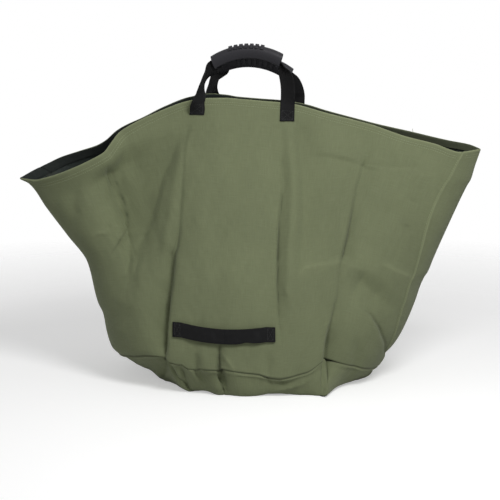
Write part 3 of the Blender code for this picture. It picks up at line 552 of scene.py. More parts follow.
def skin(turn, rise):
    """The bag's middle surface with its folds, which fade at the hem and round the sides."""
    turn, rise = np.broadcast_arrays(np.asarray(turn, float), np.asarray(rise, float))
    points = plain_skin(turn, rise)
    normal = outward(plain_skin, turn, rise)
    front = np.sin(turn) < 0
    drop = np.where(front, fold_relief(points, FRONT_FOLDS), fold_relief(points, BACK_FOLDS))
    waves = np.where(front, ripples(points, FRONT_WAVE_SEED), ripples(points, BACK_WAVE_SEED))
    below_hem = smooth_step((1 - rise) * HEM_REACH - HEM_START)
    relief = (waves - drop) * wide_sides(turn) * below_hem + seam_ridge(turn, rise)
    return points + normal * relief[..., None]


def on_skin(turn, rise, distance):
    """The skin moved outwards by a distance, or inwards by a negative one."""
    turn, rise = np.broadcast_arrays(np.asarray(turn, float), np.asarray(rise, float))
    return skin(turn, rise) + outward(skin, turn, rise) * np.asarray(distance)[..., None]


def rise_below_rim(turn, distance):
    """The rise of the point that lies this far below the rim along the wall."""
    length = np.linalg.norm(plain_skin(turn, 1.0) - plain_skin(turn, 0.0), axis=-1)
    return 1 - distance / length


def hem_radius(thickness):
    """Half the way from the wall to its turned-in hem, with the stay and a little play between them."""
    return (thickness + STAY) / 2 + STAY_PLAY


def turn_at(x, front):
    """The turn at which the rim passes this place across the mouth."""
    angle = math.acos((x - CENTRE_SHIFT) / HALF_MOUTH)
    return 2 * math.pi - angle if front else angle


def spread_turns(start, end, count):
    """Turns from start to end, closer together along the wide sides than round the tips."""
    fine = np.linspace(start, end, 2000)
    weight = np.cumsum(TIP_CROWDING + np.sin(fine) ** 2)
    weight = (weight - weight[0]) / (weight[-1] - weight[0])
    return np.interp(np.linspace(0, 1, count + 1), weight, fine)


# Mesh tools

# How near two points are one, in metres, and the hem's number among a wall's materials
MERGE_DISTANCE = 0.00005
HEM_SLOT = 3

# The rounding of the webbing's edges, as a share of its thickness
WEBBING_EDGE_SHARE = 0.28


def deselect():
    if bpy.context.object and bpy.context.object.mode != "OBJECT":
        bpy.ops.object.mode_set(mode="OBJECT")
    bpy.ops.object.select_all(action="DESELECT")


def make_active(piece):
    deselect()
    piece.select_set(True)
    bpy.context.view_layer.objects.active = piece


def apply_modifier(piece, kind, **settings):
    modifier = piece.modifiers.new(kind.lower(), kind)
    for name, value in settings.items():
        setattr(modifier, name, value)
    make_active(piece)
    bpy.ops.object.modifier_apply(modifier=modifier.name)


def grid_piece(name, grid):
    """A mesh grid set to a grid of points, listed column by column, with UVs in metres."""
    columns, rows = grid.shape[:2]
    deselect()
    bpy.ops.mesh.primitive_grid_add(
        x_subdivisions=columns - 1, y_subdivisions=rows - 1, size=1, calc_uvs=True)
    piece = bpy.context.object
    piece.name = name
    mesh = piece.data
    mesh.name = name
    mesh.vertices.foreach_set("co", grid.transpose(1, 0, 2).astype(np.float32).ravel())
    across = run_length(grid, 0)[:, rows // 2]
    lengths = run_length(grid, 1)
    flat = np.stack([np.broadcast_to(across[:, None], lengths.shape), lengths], axis=-1).transpose(1, 0, 2)
    corners = np.zeros(len(mesh.loops), np.int32)
    mesh.loops.foreach_get("vertex_index", corners)
    mesh.uv_layers.active.data.foreach_set("uv", flat.reshape(-1, 2)[corners].astype(np.float32).ravel())
    mesh.update()
    return piece


def add_values(piece, name, values):
    """A value at each point of a grid piece, for its material to read."""
    layer = piece.data.attributes.new(name, "FLOAT", "POINT")
    layer.data.foreach_set("value", values.T.astype(np.float32).ravel())


def dress(piece, *finishes):
    piece.data.materials.clear()
    for finish in finishes:
        piece.data.materials.append(finish)


def smooth(piece, degrees=40):
    make_active(piece)
    bpy.ops.object.shade_smooth_by_angle(angle=math.radians(degrees))


def cloth_sheet(name, grid, look, wear_and_highlight, shade, hem_row=None):
    """Cloth through a grid of points: a wall, whose hem starts at a row, or the round base, closed up."""
    piece = grid_piece(name, grid)
    add_values(piece, "wear_and_highlight", wear_and_highlight)
    add_values(piece, "shade", shade)
    dress(piece, *cloth_finishes(look))
    if hem_row is None:
        make_active(piece)
        bpy.ops.object.mode_set(mode="EDIT")
        bpy.ops.mesh.select_all(action="SELECT")
        bpy.ops.mesh.remove_doubles(threshold=MERGE_DISTANCE)
        bpy.ops.object.mode_set(mode="OBJECT")
    else:
        for face in piece.data.polygons:
            face.material_index = HEM_SLOT if min(face.vertices) // len(grid) >= hem_row else 0
    apply_modifier(
        piece, "SOLIDIFY", thickness=look.thickness, offset=0, material_offset=1, material_offset_rim=2)
    smooth(piece, 60)
    return piece


def webbing_strip(name, grid, finish):
    """A length of webbing through a grid of points, with rounded edges."""
    piece = grid_piece(name, grid)
    dress(piece, finish)
    apply_modifier(piece, "SOLIDIFY", thickness=WEBBING, offset=0)
    apply_modifier(
        piece, "BEVEL", width=WEBBING * WEBBING_EDGE_SHARE, segments=2, limit_method="ANGLE",
        angle_limit=math.radians(50))
    smooth(piece, 60)
    return piece


# Materials

# Slubs, the thicker stretches of thread: how many to the metre across a thread, and how drawn out along it
SLUB_SCALE = 900.0
SLUB_STRETCH = 0.045

# Where the painted shade of the mouth fades out along the hem's inside, from the left
SHADED_UP_TO = -0.05
LIT_FROM = 0.24


def new_group(name, inputs, outputs):
    """A node group with named inputs, as (kind, name, default), and outputs, as (kind, name)."""
    group = bpy.data.node_groups.new(name, "ShaderNodeTree")
    for kind, label, default in inputs:
        socket = group.interface.new_socket(label, in_out="INPUT", socket_type=f"NodeSocket{kind}")
        if default is not None:
            socket.default_value = default
    for kind, label in outputs:
        group.interface.new_socket(label, in_out="OUTPUT", socket_type=f"NodeSocket{kind}")
    return group


class Nodes:
    """A short way to add and link the nodes of one tree."""

    def __init__(self, tree):
        self.tree = tree

    def add(self, kind, **settings):
        node = self.tree.nodes.new(f"ShaderNode{kind}" if not kind.startswith("NodeGroup") else kind)
        for name, value in settings.items():
            setattr(node, name, value)
        return node

    def link(self, source, target):
        self.tree.links.new(source, target)

    def set(self, socket, value):
        if isinstance(value, bpy.types.NodeSocket):
            self.link(value, socket)
        else:
            socket.default_value = value

    def math(self, operation, *values):
        node = self.add("Math", operation=operation)
        for socket, value in zip(node.inputs, values):
            self.set(socket, value)
        return node.outputs[0]

    def colour_mix(self, share, first, second, blend="MIX"):
        node = self.add("Mix", data_type="RGBA", blend_type=blend)
        self.set(node.inputs["Factor"], share)
        self.set(node.inputs["A"], first)
        self.set(node.inputs["B"], second)
        return node.outputs["Result"]

    def noise(self, vector, scale, detail=2.0, roughness=0.5):
        node = self.add("TexNoise")
        self.link(vector, node.inputs["Vector"])
        self.set(node.inputs["Scale"], scale)
        node.inputs["Detail"].default_value = detail
        node.inputs["Roughness"].default_value = roughness
        return node.outputs["Fac"]

    def stretch(self, vector, scale):
        node = self.add("Mapping")
        self.link(vector, node.inputs["Vector"])
        node.inputs["Scale"].default_value = scale
        return node.outputs["Vector"]

    def spread(self, value, low, high, to_low=0.0, to_high=1.0):
        node = self.add("MapRange")
        self.link(value, node.inputs["Value"])
        labels = ("From Min", "From Max", "To Min", "To Max")
        for label, number in zip(labels, (low, high, to_low, to_high)):
            self.set(node.inputs[label], number)
        return node.outputs["Result"]


def weave_group():
    """Plain weave on UVs in metres: the height of the threads, and the slubs along both of them."""
    group = new_group(
        "plain weave",
        [("Vector", "UV", None), ("Float", "Thread Pitch", 0.0006)],
        [("Float", "Height"), ("Float", "Slubs")],
    )
    nodes = Nodes(group)
    source, target = nodes.add("NodeGroupInput"), nodes.add("NodeGroupOutput")
    apart = nodes.add("SeparateXYZ")
    nodes.link(source.outputs["UV"], apart.inputs[0])
    rate = nodes.math("DIVIDE", math.pi, source.outputs["Thread Pitch"])
    warp = nodes.math("SINE", nodes.math("MULTIPLY", apart.outputs["X"], rate))
    weft = nodes.math("SINE", nodes.math("MULTIPLY", apart.outputs["Y"], rate))
    crossing = nodes.math("ABSOLUTE", nodes.math("MULTIPLY", warp, weft))
    nodes.link(crossing, target.inputs["Height"])
    uv = source.outputs["UV"]
    along_warp = nodes.noise(nodes.stretch(uv, (1.0, SLUB_STRETCH, 1.0)), SLUB_SCALE, 1.0)
    along_weft = nodes.noise(nodes.stretch(uv, (SLUB_STRETCH, 1.0, 1.0)), SLUB_SCALE, 1.0)
    slubs = nodes.math("MULTIPLY", nodes.math("ADD", along_warp, along_weft), 0.5)
    nodes.link(slubs, target.inputs["Slubs"])
    return group


def mottle_group():
    """Soft uneven patches, as handled and stored cloth has: a slow share and a fine one."""
    group = new_group(
        "handled patches",
        [("Vector", "Place", None), ("Float", "Patch Scale", 9.0), ("Float", "Grain Scale", 160.0)],
        [("Float", "Patches"), ("Float", "Grain")],
    )
    nodes = Nodes(group)
    source, target = nodes.add("NodeGroupInput"), nodes.add("NodeGroupOutput")
    patches = nodes.noise(source.outputs["Place"], source.outputs["Patch Scale"], 3.0)
    grain = nodes.noise(source.outputs["Place"], source.outputs["Grain Scale"], 2.0)
    nodes.link(patches, target.inputs["Patches"])
    nodes.link(grain, target.inputs["Grain"])
    return group


def group_of(name, maker):
    return bpy.data.node_groups.get(name) or maker()


def weave_on(nodes, pitch, across=1.0):
    """The plain weave on a piece's own UV map, its threads drawn out across it."""
    group = nodes.add("Group", node_tree=group_of("plain weave", weave_group))
    uv = nodes.add("UVMap").outputs["UV"]
    nodes.link(nodes.stretch(uv, (across, 1.0, 1.0)), group.inputs["UV"])
    group.inputs["Thread Pitch"].default_value = pitch
    return group.outputs


def patches_on(nodes, **scales):
    """The handled patches on a piece's Object coordinates, at the scales that are given."""
    group = nodes.add("Group", node_tree=group_of("handled patches", mottle_group))
    nodes.link(nodes.add("TexCoord").outputs["Object"], group.inputs["Place"])
    for label, scale in scales.items():
        group.inputs[label.replace("_", " ")].default_value = scale
    return group.outputs


def new_material(name, roughness, **constants):
    """A material with a Principled BSDF whose constants are set on its own sockets."""
    made = bpy.data.materials.get(name)
    if made:
        return made, None, None
    made = bpy.data.materials.new(name)
    made.use_nodes = True
    shader = made.node_tree.nodes["Principled BSDF"]
    shader.inputs["Roughness"].default_value = roughness
    for label, value in constants.items():
        shader.inputs[label.replace("_", " ")].default_value = value
    return made, shader, Nodes(made.node_tree)


def bump(nodes, height, distance, strength=1.0):
    node = nodes.add("Bump")
    nodes.link(height, node.inputs["Height"])
    node.inputs["Distance"].default_value = distance
    node.inputs["Strength"].default_value = strength
    return node.outputs["Normal"]


def scaled(colour, factor):
    return (*(channel * factor for channel in colour), 1.0)


def canvas(look, name, colour, roughness, sheen, contrast, shaded_left=False):
    """Coated plain-weave cloth: slubs along both threads, soft patches, paler worn folds and edges, a
    painted highlight along the base's groove, and painted shade in seams and creases and, on the hem,
    towards the left of the mouth.
    """
    made, shader, nodes = new_material(
        name, roughness, Specular_IOR_Level=0.3, Sheen_Weight=sheen, Sheen_Roughness=0.45)
    if shader is None:
        return made
    weave = weave_on(nodes, look.thread_pitch)
    patches = patches_on(nodes)
    slubs = nodes.spread(weave["Slubs"], 0.35, 0.65, 1 - contrast, 1 + contrast)
    uneven = nodes.spread(patches["Patches"], 0.3, 0.7, 1 - contrast, 1 + contrast)
    light = nodes.math("MULTIPLY", slubs, uneven)
    shade = nodes.add("CombineColor")
    for channel in ("Red", "Green", "Blue"):
        nodes.link(light, shade.inputs[channel])
    tinted = nodes.colour_mix(1.0, scaled(colour, 1.0), shade.outputs["Color"], "MULTIPLY")
    # Painted shade: the hem's inside darkens towards the left of the mouth, down to half the darkened
    # coating
    if shaded_left:
        across = nodes.add("SeparateXYZ")
        nodes.link(nodes.add("TexCoord").outputs["Object"], across.inputs["Vector"])
        left = nodes.spread(across.outputs["X"], SHADED_UP_TO, LIT_FROM, 1.0, 0.0)
        tinted = nodes.colour_mix(left, tinted, scaled(look.shaded_coating_colour, 0.5))
    # Paler cloth where worn, and on the base the painted highlight along the groove's lip
    wear_and_highlight = nodes.add("Attribute", attribute_name="wear_and_highlight").outputs["Fac"]
    worn_and_highlit_share = nodes.math("MULTIPLY", wear_and_highlight, nodes.spread(patches["Grain"], 0.3, 0.7, 0.55, 1.0))
    worn_and_highlit = nodes.colour_mix(worn_and_highlit_share, tinted, scaled(look.worn_and_highlight_colour, 1.0))
    # Painted shade: the shade values darken the colour in the seams and the creases
    painted_shade = nodes.add("Attribute", attribute_name="shade").outputs["Fac"]
    nodes.link(nodes.colour_mix(painted_shade, worn_and_highlit, scaled(colour, 0.12)), shader.inputs["Base Color"])
    rough = nodes.spread(patches["Grain"], 0.3, 0.7, roughness - 0.06, roughness + 0.08)
    nodes.link(rough, shader.inputs["Roughness"])
    height = nodes.math("ADD", nodes.math("MULTIPLY", weave["Height"], 0.6), weave["Slubs"])
    nodes.link(bump(nodes, height, look.weave_height), shader.inputs["Normal"])
    return made


def cloth_finishes(look):
    """The cloth's outside, coated inside and cut edge, and the same for its hem. The inside, the cut edge
    and the hem inside are darkened as painted shade, the hem more towards the left of the mouth.
    """
    outside = canvas(look, "olive canvas", look.canvas_colour, roughness=0.8, sheen=0.08, contrast=0.07)
    # The coated inside takes a colour darkened as painted shade
    inside = canvas(look, "coated inside", look.shaded_coating_colour, roughness=0.55, sheen=0.0, contrast=0.05)
    # The cut edge and the hem inside take the canvas darkened as painted shade
    edge = canvas(look, "cut edge", look.shaded_hem_colour, roughness=0.9, sheen=0.2, contrast=0.12)
    hem = canvas(
        look, "hem inside", look.shaded_hem_colour, roughness=0.85, sheen=0.0, contrast=0.08, shaded_left=True)
    return outside, inside, edge, hem, inside, hem


def plain_finish(name, colour, roughness, scale, relief, sheen=0.0):
    """A fine-grained finish on Object coordinates, for tape, stays and thread."""
    made, shader, nodes = new_material(name, roughness, Sheen_Weight=sheen)
    if shader is None:
        return made
    patches = patches_on(nodes, Grain_Scale=scale)
    shade = nodes.colour_mix(patches["Grain"], scaled(colour, 0.8), scaled(colour, 1.2))
    nodes.link(shade, shader.inputs["Base Color"])
    nodes.link(bump(nodes, patches["Grain"], relief), shader.inputs["Normal"])
    return made


def webbing_finish(look):
    """Black woven webbing: ribs along it, crossed by fine weft, with painted light and shade on the
    threads, and slightly dusty.
    """
    made, shader, nodes = new_material("black webbing", 0.75, Specular_IOR_Level=0.12)
    if shader is None:
        return made
    colour = look.webbing_colour
    weave = weave_on(nodes, look.webbing_pitch, across=0.55)
    patches = patches_on(nodes, Patch_Scale=60.0)
    # Painted light and shade on the weave: paler on the threads' crowns, darker between them
    shade = nodes.colour_mix(weave["Height"], scaled(colour, 0.55), scaled(colour, 1.35))
    dust = nodes.spread(patches["Patches"], 0.52, 0.75, 0.0, 0.3)
    nodes.link(nodes.colour_mix(dust, shade, scaled(colour, 2.4)), shader.inputs["Base Color"])
    height = nodes.math("ADD", weave["Height"], nodes.math("MULTIPLY", weave["Slubs"], 0.5))
    nodes.link(bump(nodes, height, look.webbing_relief), shader.inputs["Normal"])
    return made


def rubber_finish(look):
    """Moulded charcoal rubber: a fine spark-eroded grain, with duller and shinier patches from hands."""
    made, shader, nodes = new_material("charcoal rubber", 0.52, Specular_IOR_Level=0.22)
    if shader is None:
        return made
    colour = look.rubber_colour
    patches = patches_on(nodes, Patch_Scale=45.0, Grain_Scale=2600.0)
    shade = nodes.colour_mix(patches["Patches"], scaled(colour, 0.85), scaled(colour, 1.2))
    nodes.link(shade, shader.inputs["Base Color"])
    nodes.link(nodes.spread(patches["Patches"], 0.3, 0.7, 0.46, 0.62), shader.inputs["Roughness"])
    nodes.link(bump(nodes, patches["Grain"], look.rubber_grain), shader.inputs["Normal"])
    return made


# The walls

# Rows of the hem's turn, and how the rows above the base seam crowd together
HEM_ROWS = 6
CROWDING = 30
CROWDING_SHARE = 0.0085

# How far the bottom edge tucks in behind the base's border, and how wide the laps at the side seams are
TUCK = 0.0004
TUCK_REACH = 0.0025
LAP_REACH = 0.004
FRONT_LAP_SHARE = 0.55
BACK_LAP_SHARE = -0.75

# Wear along the rim and the side seams, and painted shade in the base seam and at the bottoms of sharp
# creases
RIM_WEAR_SHARES = (0.55, 0.95, 0.95, 0.5)
SIDE_WEAR_SHARE = 0.7
RIDGE_WEAR_SHARE = 0.35
RIDGE_HEIGHT = 0.0022
SEAM_SHADE_SHARE = 0.55
CREASE_SHADE_SHARE = 0.6
CREASE_WIDTH = 0.0022
CREASE_DEPTH = 0.006


def wall_turns(front, columns):
    """A wall's columns, from one side seam to the other."""
    start, end = (LEFT_SEAM, RIGHT_SEAM) if front else (RIGHT_SEAM, LEFT_SEAM + 2 * math.pi)
    edge = GAP / 2 / HALF_MOUTH
    return spread_turns(start + edge, end - edge, columns)


def wall_grid(turns, rows, thickness, lap):
    """Points of a wall: up its outside, over the rim and down inside as a hem, with the wear and the
    painted shade at each.
    """
    hem = rise_below_rim(turns, HEM_DEPTH)
    spacing = np.linspace(0, 1, rows - HEM_ROWS)
    spacing = spacing - CROWDING_SHARE * smooth_step(spacing * CROWDING) * (1 - spacing)
    low = (spacing / spacing[-1])[None, :] * hem[:, None]
    high = mix(hem[:, None], 1, np.linspace(0, 1, HEM_ROWS + 1)[None, 1:])
    rises = np.concatenate([low, high], axis=1)
    points = skin(turns[:, None], rises)
    normals = outward(skin, turns[:, None], rises)
    tuck = TUCK * np.exp(-run_length(points, 1) / TUCK_REACH)
    from_edge = run_length(points, 0)
    from_edge = np.minimum(from_edge, from_edge[-1] - from_edge)
    points = points + normals * (lap * np.exp(-((from_edge / LAP_REACH) ** 2)) - tuck)[..., None]
    rim, out = points[:, -1], normals[:, -1]
    up = unit(rim - points[:, -2])
    radius = hem_radius(thickness)
    turned = []
    for angle in np.linspace(0, math.pi, HEM_ROWS + 1)[1:]:
        turned.append((rim + (out * (math.cos(angle) - 1) + up * math.sin(angle)) * radius)[:, None])
    inner = []
    for row in range(2, HEM_ROWS + 1):
        inner.append((points[:, -row] - normals[:, -row] * 2 * radius)[:, None])
    grid = np.concatenate([points, *turned, *inner], axis=1)
    wear_and_highlight = np.zeros(grid.shape[:2])
    wear_and_highlight[:, rows - 1 : rows + 3] = RIM_WEAR_SHARES
    wear_and_highlight[[0, -1], :rows] = SIDE_WEAR_SHARE
    # Painted shade along the wall's bottom edge, in the base seam
    shade = np.zeros(grid.shape[:2])
    shade[:, 0] = SEAM_SHADE_SHARE
    return grid, wear_and_highlight, shade


def ridge_wear(grid, folds):
    """Paler cloth along sharp ridges and the upper lips of creases."""
    ridges = [fold for fold in folds if fold.power == 1]
    return RIDGE_WEAR_SHARE * np.clip(-fold_relief(grid, ridges) / RIDGE_HEIGHT, 0, 1)


def crease_shade(grid, folds):
    """Painted shade along the bottoms of the sharp creases."""
    deep = [fold for fold in folds if fold.power == 1 and fold.depth > CREASE_DEPTH]
    creases = [Fold(1, CREASE_WIDTH, CREASE_WIDTH, 1, fold.path) for fold in deep]
    return CREASE_SHADE_SHARE * np.clip(fold_relief(grid, creases), 0, 1) ** 1.6


class LEAFBAG_OT_walls(Operator):
    """Sew the front and the back wall, each one sheet of canvas with its folds and its hem"""

    bl_idname = "leafbag.walls"
    bl_label = "Walls"

    def execute(self, context):
        look = context.scene.leafbag_cloth
        rows = look.wall_rows
        for side, folds, lap_share in (
            ("front", FRONT_FOLDS, FRONT_LAP_SHARE),
            ("back", BACK_FOLDS, BACK_LAP_SHARE),
        ):
            turns = wall_turns(side == "front", look.wall_columns)
            grid, wear_and_highlight, shade = wall_grid(turns, rows, look.thickness, look.thickness * lap_share)
            outer = grid[:, :rows]
            wear_and_highlight[:, :rows] = np.maximum(wear_and_highlight[:, :rows], ridge_wear(outer, folds))
            # Painted shade along the bottoms of the sharp creases
            shade[:, :rows] = np.maximum(shade[:, :rows], crease_shade(outer, folds))
            wall = cloth_sheet(f"{side}_wall", grid, look, wear_and_highlight, shade, hem_row=rows + HEM_ROWS // 2)
            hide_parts(f"{side}_panel")
            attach(wall, "bag")
        return {"FINISHED"}


# The base

# The foot lies a hair above the floor, and the base's cloth is pleated a little less at the back
FLOOR_PLAY = 0.0005
LAP_PLAY = 0.0007
BACK_PLEAT_SHARE = 0.8

# Rows up the lap behind the walls, round the border and in over the floor, how the border's rows crowd
# together at the seam, and how far below it the waves of slack cloth reach their full height
LAP_ROWS = 3
BORDER_ROWS = 26
FLOOR_ROWS = 25
BORDER_CROWDING = 1.5
WAVE_REACH = 0.01

# The groove that the seam's stitching pulls in: how far below the seam, how deep and how wide
GROOVE_PLACE = 0.0034
GROOVE_DEPTH = 0.0030
GROOVE_WIDTH = 0.0022
# The painted highlight along the groove's lip, its width and share, and the painted shadow just below the
# seam, its reach and share
GROOVE_HIGHLIGHT_WIDTH = 0.0012
GROOVE_HIGHLIGHT_SHARE = 0.4
SEAM_SHADOW_REACH = 0.0014
SEAM_SHADOW_SHARE = 0.85


def foot_point(turn, seam, share):
    """The base's border, from the seam (0) down round its knee to the edge of the flat foot (1)."""
    across, around = np.cos(turn), np.sin(turn)
    reach = np.where(across < 0, FOOT_LEFT_REACH, FOOT_RIGHT_REACH)
    depth = FOOT_DEPTH / 2 * np.where(around < 0, through(FOOT_FRONT_SHARES, across), 1)
    edge = np.stack([across * reach + CENTRE_SHIFT, around * depth, 0 * across + FLOOR_PLAY], axis=-1)
    knee = edge * np.array([FOOT_KNEE_SHARE, FOOT_KNEE_SHARE, 1])
    share = np.asarray(share)[..., None]
    weights = (1 - share) ** 2, FOOT_KNEE_PULL * 2 * share * (1 - share), share**2
    return (seam * weights[0] + knee * weights[1] + edge * weights[2]) / sum(weights)


def base_grid(look):
    """The base from its lap behind the walls, round its border and in over the floor to its middle."""
    front_turns = wall_turns(True, look.wall_columns)
    back_turns = wall_turns(False, look.wall_columns) % (2 * math.pi)
    turns = np.unwrap(np.concatenate([front_turns[:-1], back_turns[:-1]]))
    turns = np.append(turns, turns[0] + 2 * math.pi)
    inset = look.thickness + GAP + LAP_PLAY
    seam = on_skin(turns, 0 * turns, 0 * turns - inset)
    lap = []
    for share in np.linspace(1, 0, LAP_ROWS + 1)[:-1]:
        rise = 1 - rise_below_rim(turns, BASE_LAP * share)
        lap.append(on_skin(turns, rise, 0 * turns - inset))
    places = np.linspace(0, 1, BORDER_ROWS) ** BORDER_CROWDING
    border = [foot_point(turns, seam, share + 0 * turns) for share in places]
    middle = border[-1].mean(axis=0)
    flat = [mix(border[-1], middle, share) for share in np.linspace(0, 1, FLOOR_ROWS + 1)[1:]]
    strip = np.stack(border, axis=1)
    out = unit(np.cross(np.gradient(strip, axis=0), np.gradient(strip, axis=1)))
    out *= np.sign((out * (strip - strip.mean(axis=(0, 1)))).sum(axis=-1, keepdims=True))
    mirrored = fold_relief(strip * [-1, 1, 1], BASE_PLEATS) * BACK_PLEAT_SHARE
    drop = np.where(strip[..., 1] < 0, fold_relief(strip, BASE_PLEATS), mirrored)
    drop = drop * wide_sides(turns)[:, None]
    down = run_length(strip, 1)
    groove = -GROOVE_DEPTH * np.exp(-(((down - GROOVE_PLACE) / GROOVE_WIDTH) ** 2))
    waves = ripples(strip, BASE_WAVE_SEED) * smooth_step(down / WAVE_REACH)
    strip = strip - out * (drop + groove - waves)[..., None]
    strip[..., 2] = np.maximum(strip[..., 2], border[-1][0, 2])
    grid = np.concatenate([np.stack(lap, axis=1), strip, np.stack(flat, axis=1)], axis=1)
    below = run_length(grid, 1) - run_length(grid, 1)[:, len(lap) :][:, :1]
    # A painted highlight along the groove's lip, and painted shadow just below the seam
    wear_and_highlight = GROOVE_HIGHLIGHT_SHARE * np.exp(-(((below - GROOVE_PLACE) / GROOVE_HIGHLIGHT_WIDTH) ** 2))
    shade = SEAM_SHADOW_SHARE * np.exp(-((np.maximum(below, 0) / SEAM_SHADOW_REACH) ** 2))
    return grid[:, ::-1], wear_and_highlight[:, ::-1], shade[:, ::-1]


class LEAFBAG_OT_base(Operator):
    """Sew the round base, gathered into pleats where the walls meet it"""

    bl_idname = "leafbag.base"
    bl_label = "Base"

    def execute(self, context):
        look = context.scene.leafbag_cloth
        grid, wear_and_highlight, shade = base_grid(look)
        base = cloth_sheet("base_cloth", grid, look, wear_and_highlight, shade)
        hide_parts("base_panel")
        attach(base, "bag")
        return {"FINISHED"}


# Inside pieces

TAPE_COLUMNS = 9
TAPE_ROWS = 80
TAPE_UNDER_HEM = 0.002
STAY_COLUMNS = 160
STAY_FILL_SHARE = 0.8


def trim_strip(name, grid, thickness, finish):
    """A flat strip of even thickness through a grid of points."""
    strip = grid_piece(name, grid)
    dress(strip, finish)
    apply_modifier(strip, "SOLIDIFY", thickness=thickness, offset=0)
    smooth(strip)
    return strip


class LEAFBAG_OT_inside_trim(Operator):
    """Bind both side seams with tape on the inside, and put the flat stays in the hems"""

    bl_idname = "leafbag.inside_trim"
    bl_label = "Seam tapes and stays"

    def execute(self, context):
        look = context.scene.leafbag_cloth
        # The tape's colour is darkened as painted shade, to match the shaded mouth
        tape = plain_finish("seam binding", look.shaded_binding_colour, 0.85, 900.0, 0.0001, 0.1)
        for side, seam in (("right", RIGHT_SEAM), ("left", LEFT_SEAM)):
            half = SEAM_TAPE_WIDTH / HALF_MOUTH
            turns = np.linspace(seam - half, seam + half, TAPE_COLUMNS)
            low = 1 - rise_below_rim(turns, BASE_LAP + SEAM_TAPE)
            high = rise_below_rim(turns, HEM_DEPTH - TAPE_UNDER_HEM)
            rises = mix(low[:, None], high[:, None], np.linspace(0, 1, TAPE_ROWS)[None, :])
            inset = -(look.thickness + SEAM_TAPE) / 2 - GAP
            grid = on_skin(turns[:, None], rises, 0 * rises + inset)
            binding = trim_strip(f"{side}_seam_binding", grid, SEAM_TAPE, tape)
            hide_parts(f"{side}_seam_tape")
            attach(binding, "bag")
        plastic = plain_finish("stay plastic", look.stay_colour, 0.45, 300.0, 0.00005)
        for side, front in (("front", True), ("back", False)):
            ends = sorted(turn_at(x, front) for x in (-STAY_REACH, STAY_REACH))
            turns = spread_turns(*ends, STAY_COLUMNS)
            drops = np.array([HEM_DEPTH + STAY_WIDTH, HEM_DEPTH - STAY_WIDTH]) / 2
            rises = rise_below_rim(turns[:, None], drops)
            grid = on_skin(turns[:, None], rises, 0 * rises - hem_radius(look.thickness))
            stay = trim_strip(f"{side}_hem_stay", grid, STAY * STAY_FILL_SHARE, plastic)
            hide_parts(f"{side}_rim_stay")
            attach(stay, "bag")
        return {"FINISHED"}


# Handles

# Columns of points across a strap, and rows along a leg, through a grip and down a sewn end
WEBBING_COLUMNS = 9
LEG_ROWS = 36
GRIP_ROWS = 40
TAB_ROWS = 14

# How far the webbing is folded lengthwise inside a grip, in degrees, and how soon, in radians of its arc
INSIDE_FOLD = 60
INSIDE_FOLD_RUN = 0.2


class Bend(NamedTuple):
    """How a leg bends: how far it runs up and in, and its turn and its fold on the way, in degrees."""

    run_up: float
    run_in: float
    turns: tuple
    folds: tuple


class Tab(NamedTuple):
    """A sewn end: place across the bag at the rim, length, lean at its lower edge, and twist in degrees."""

    place: float
    length: float
    lean: float
    twist: float


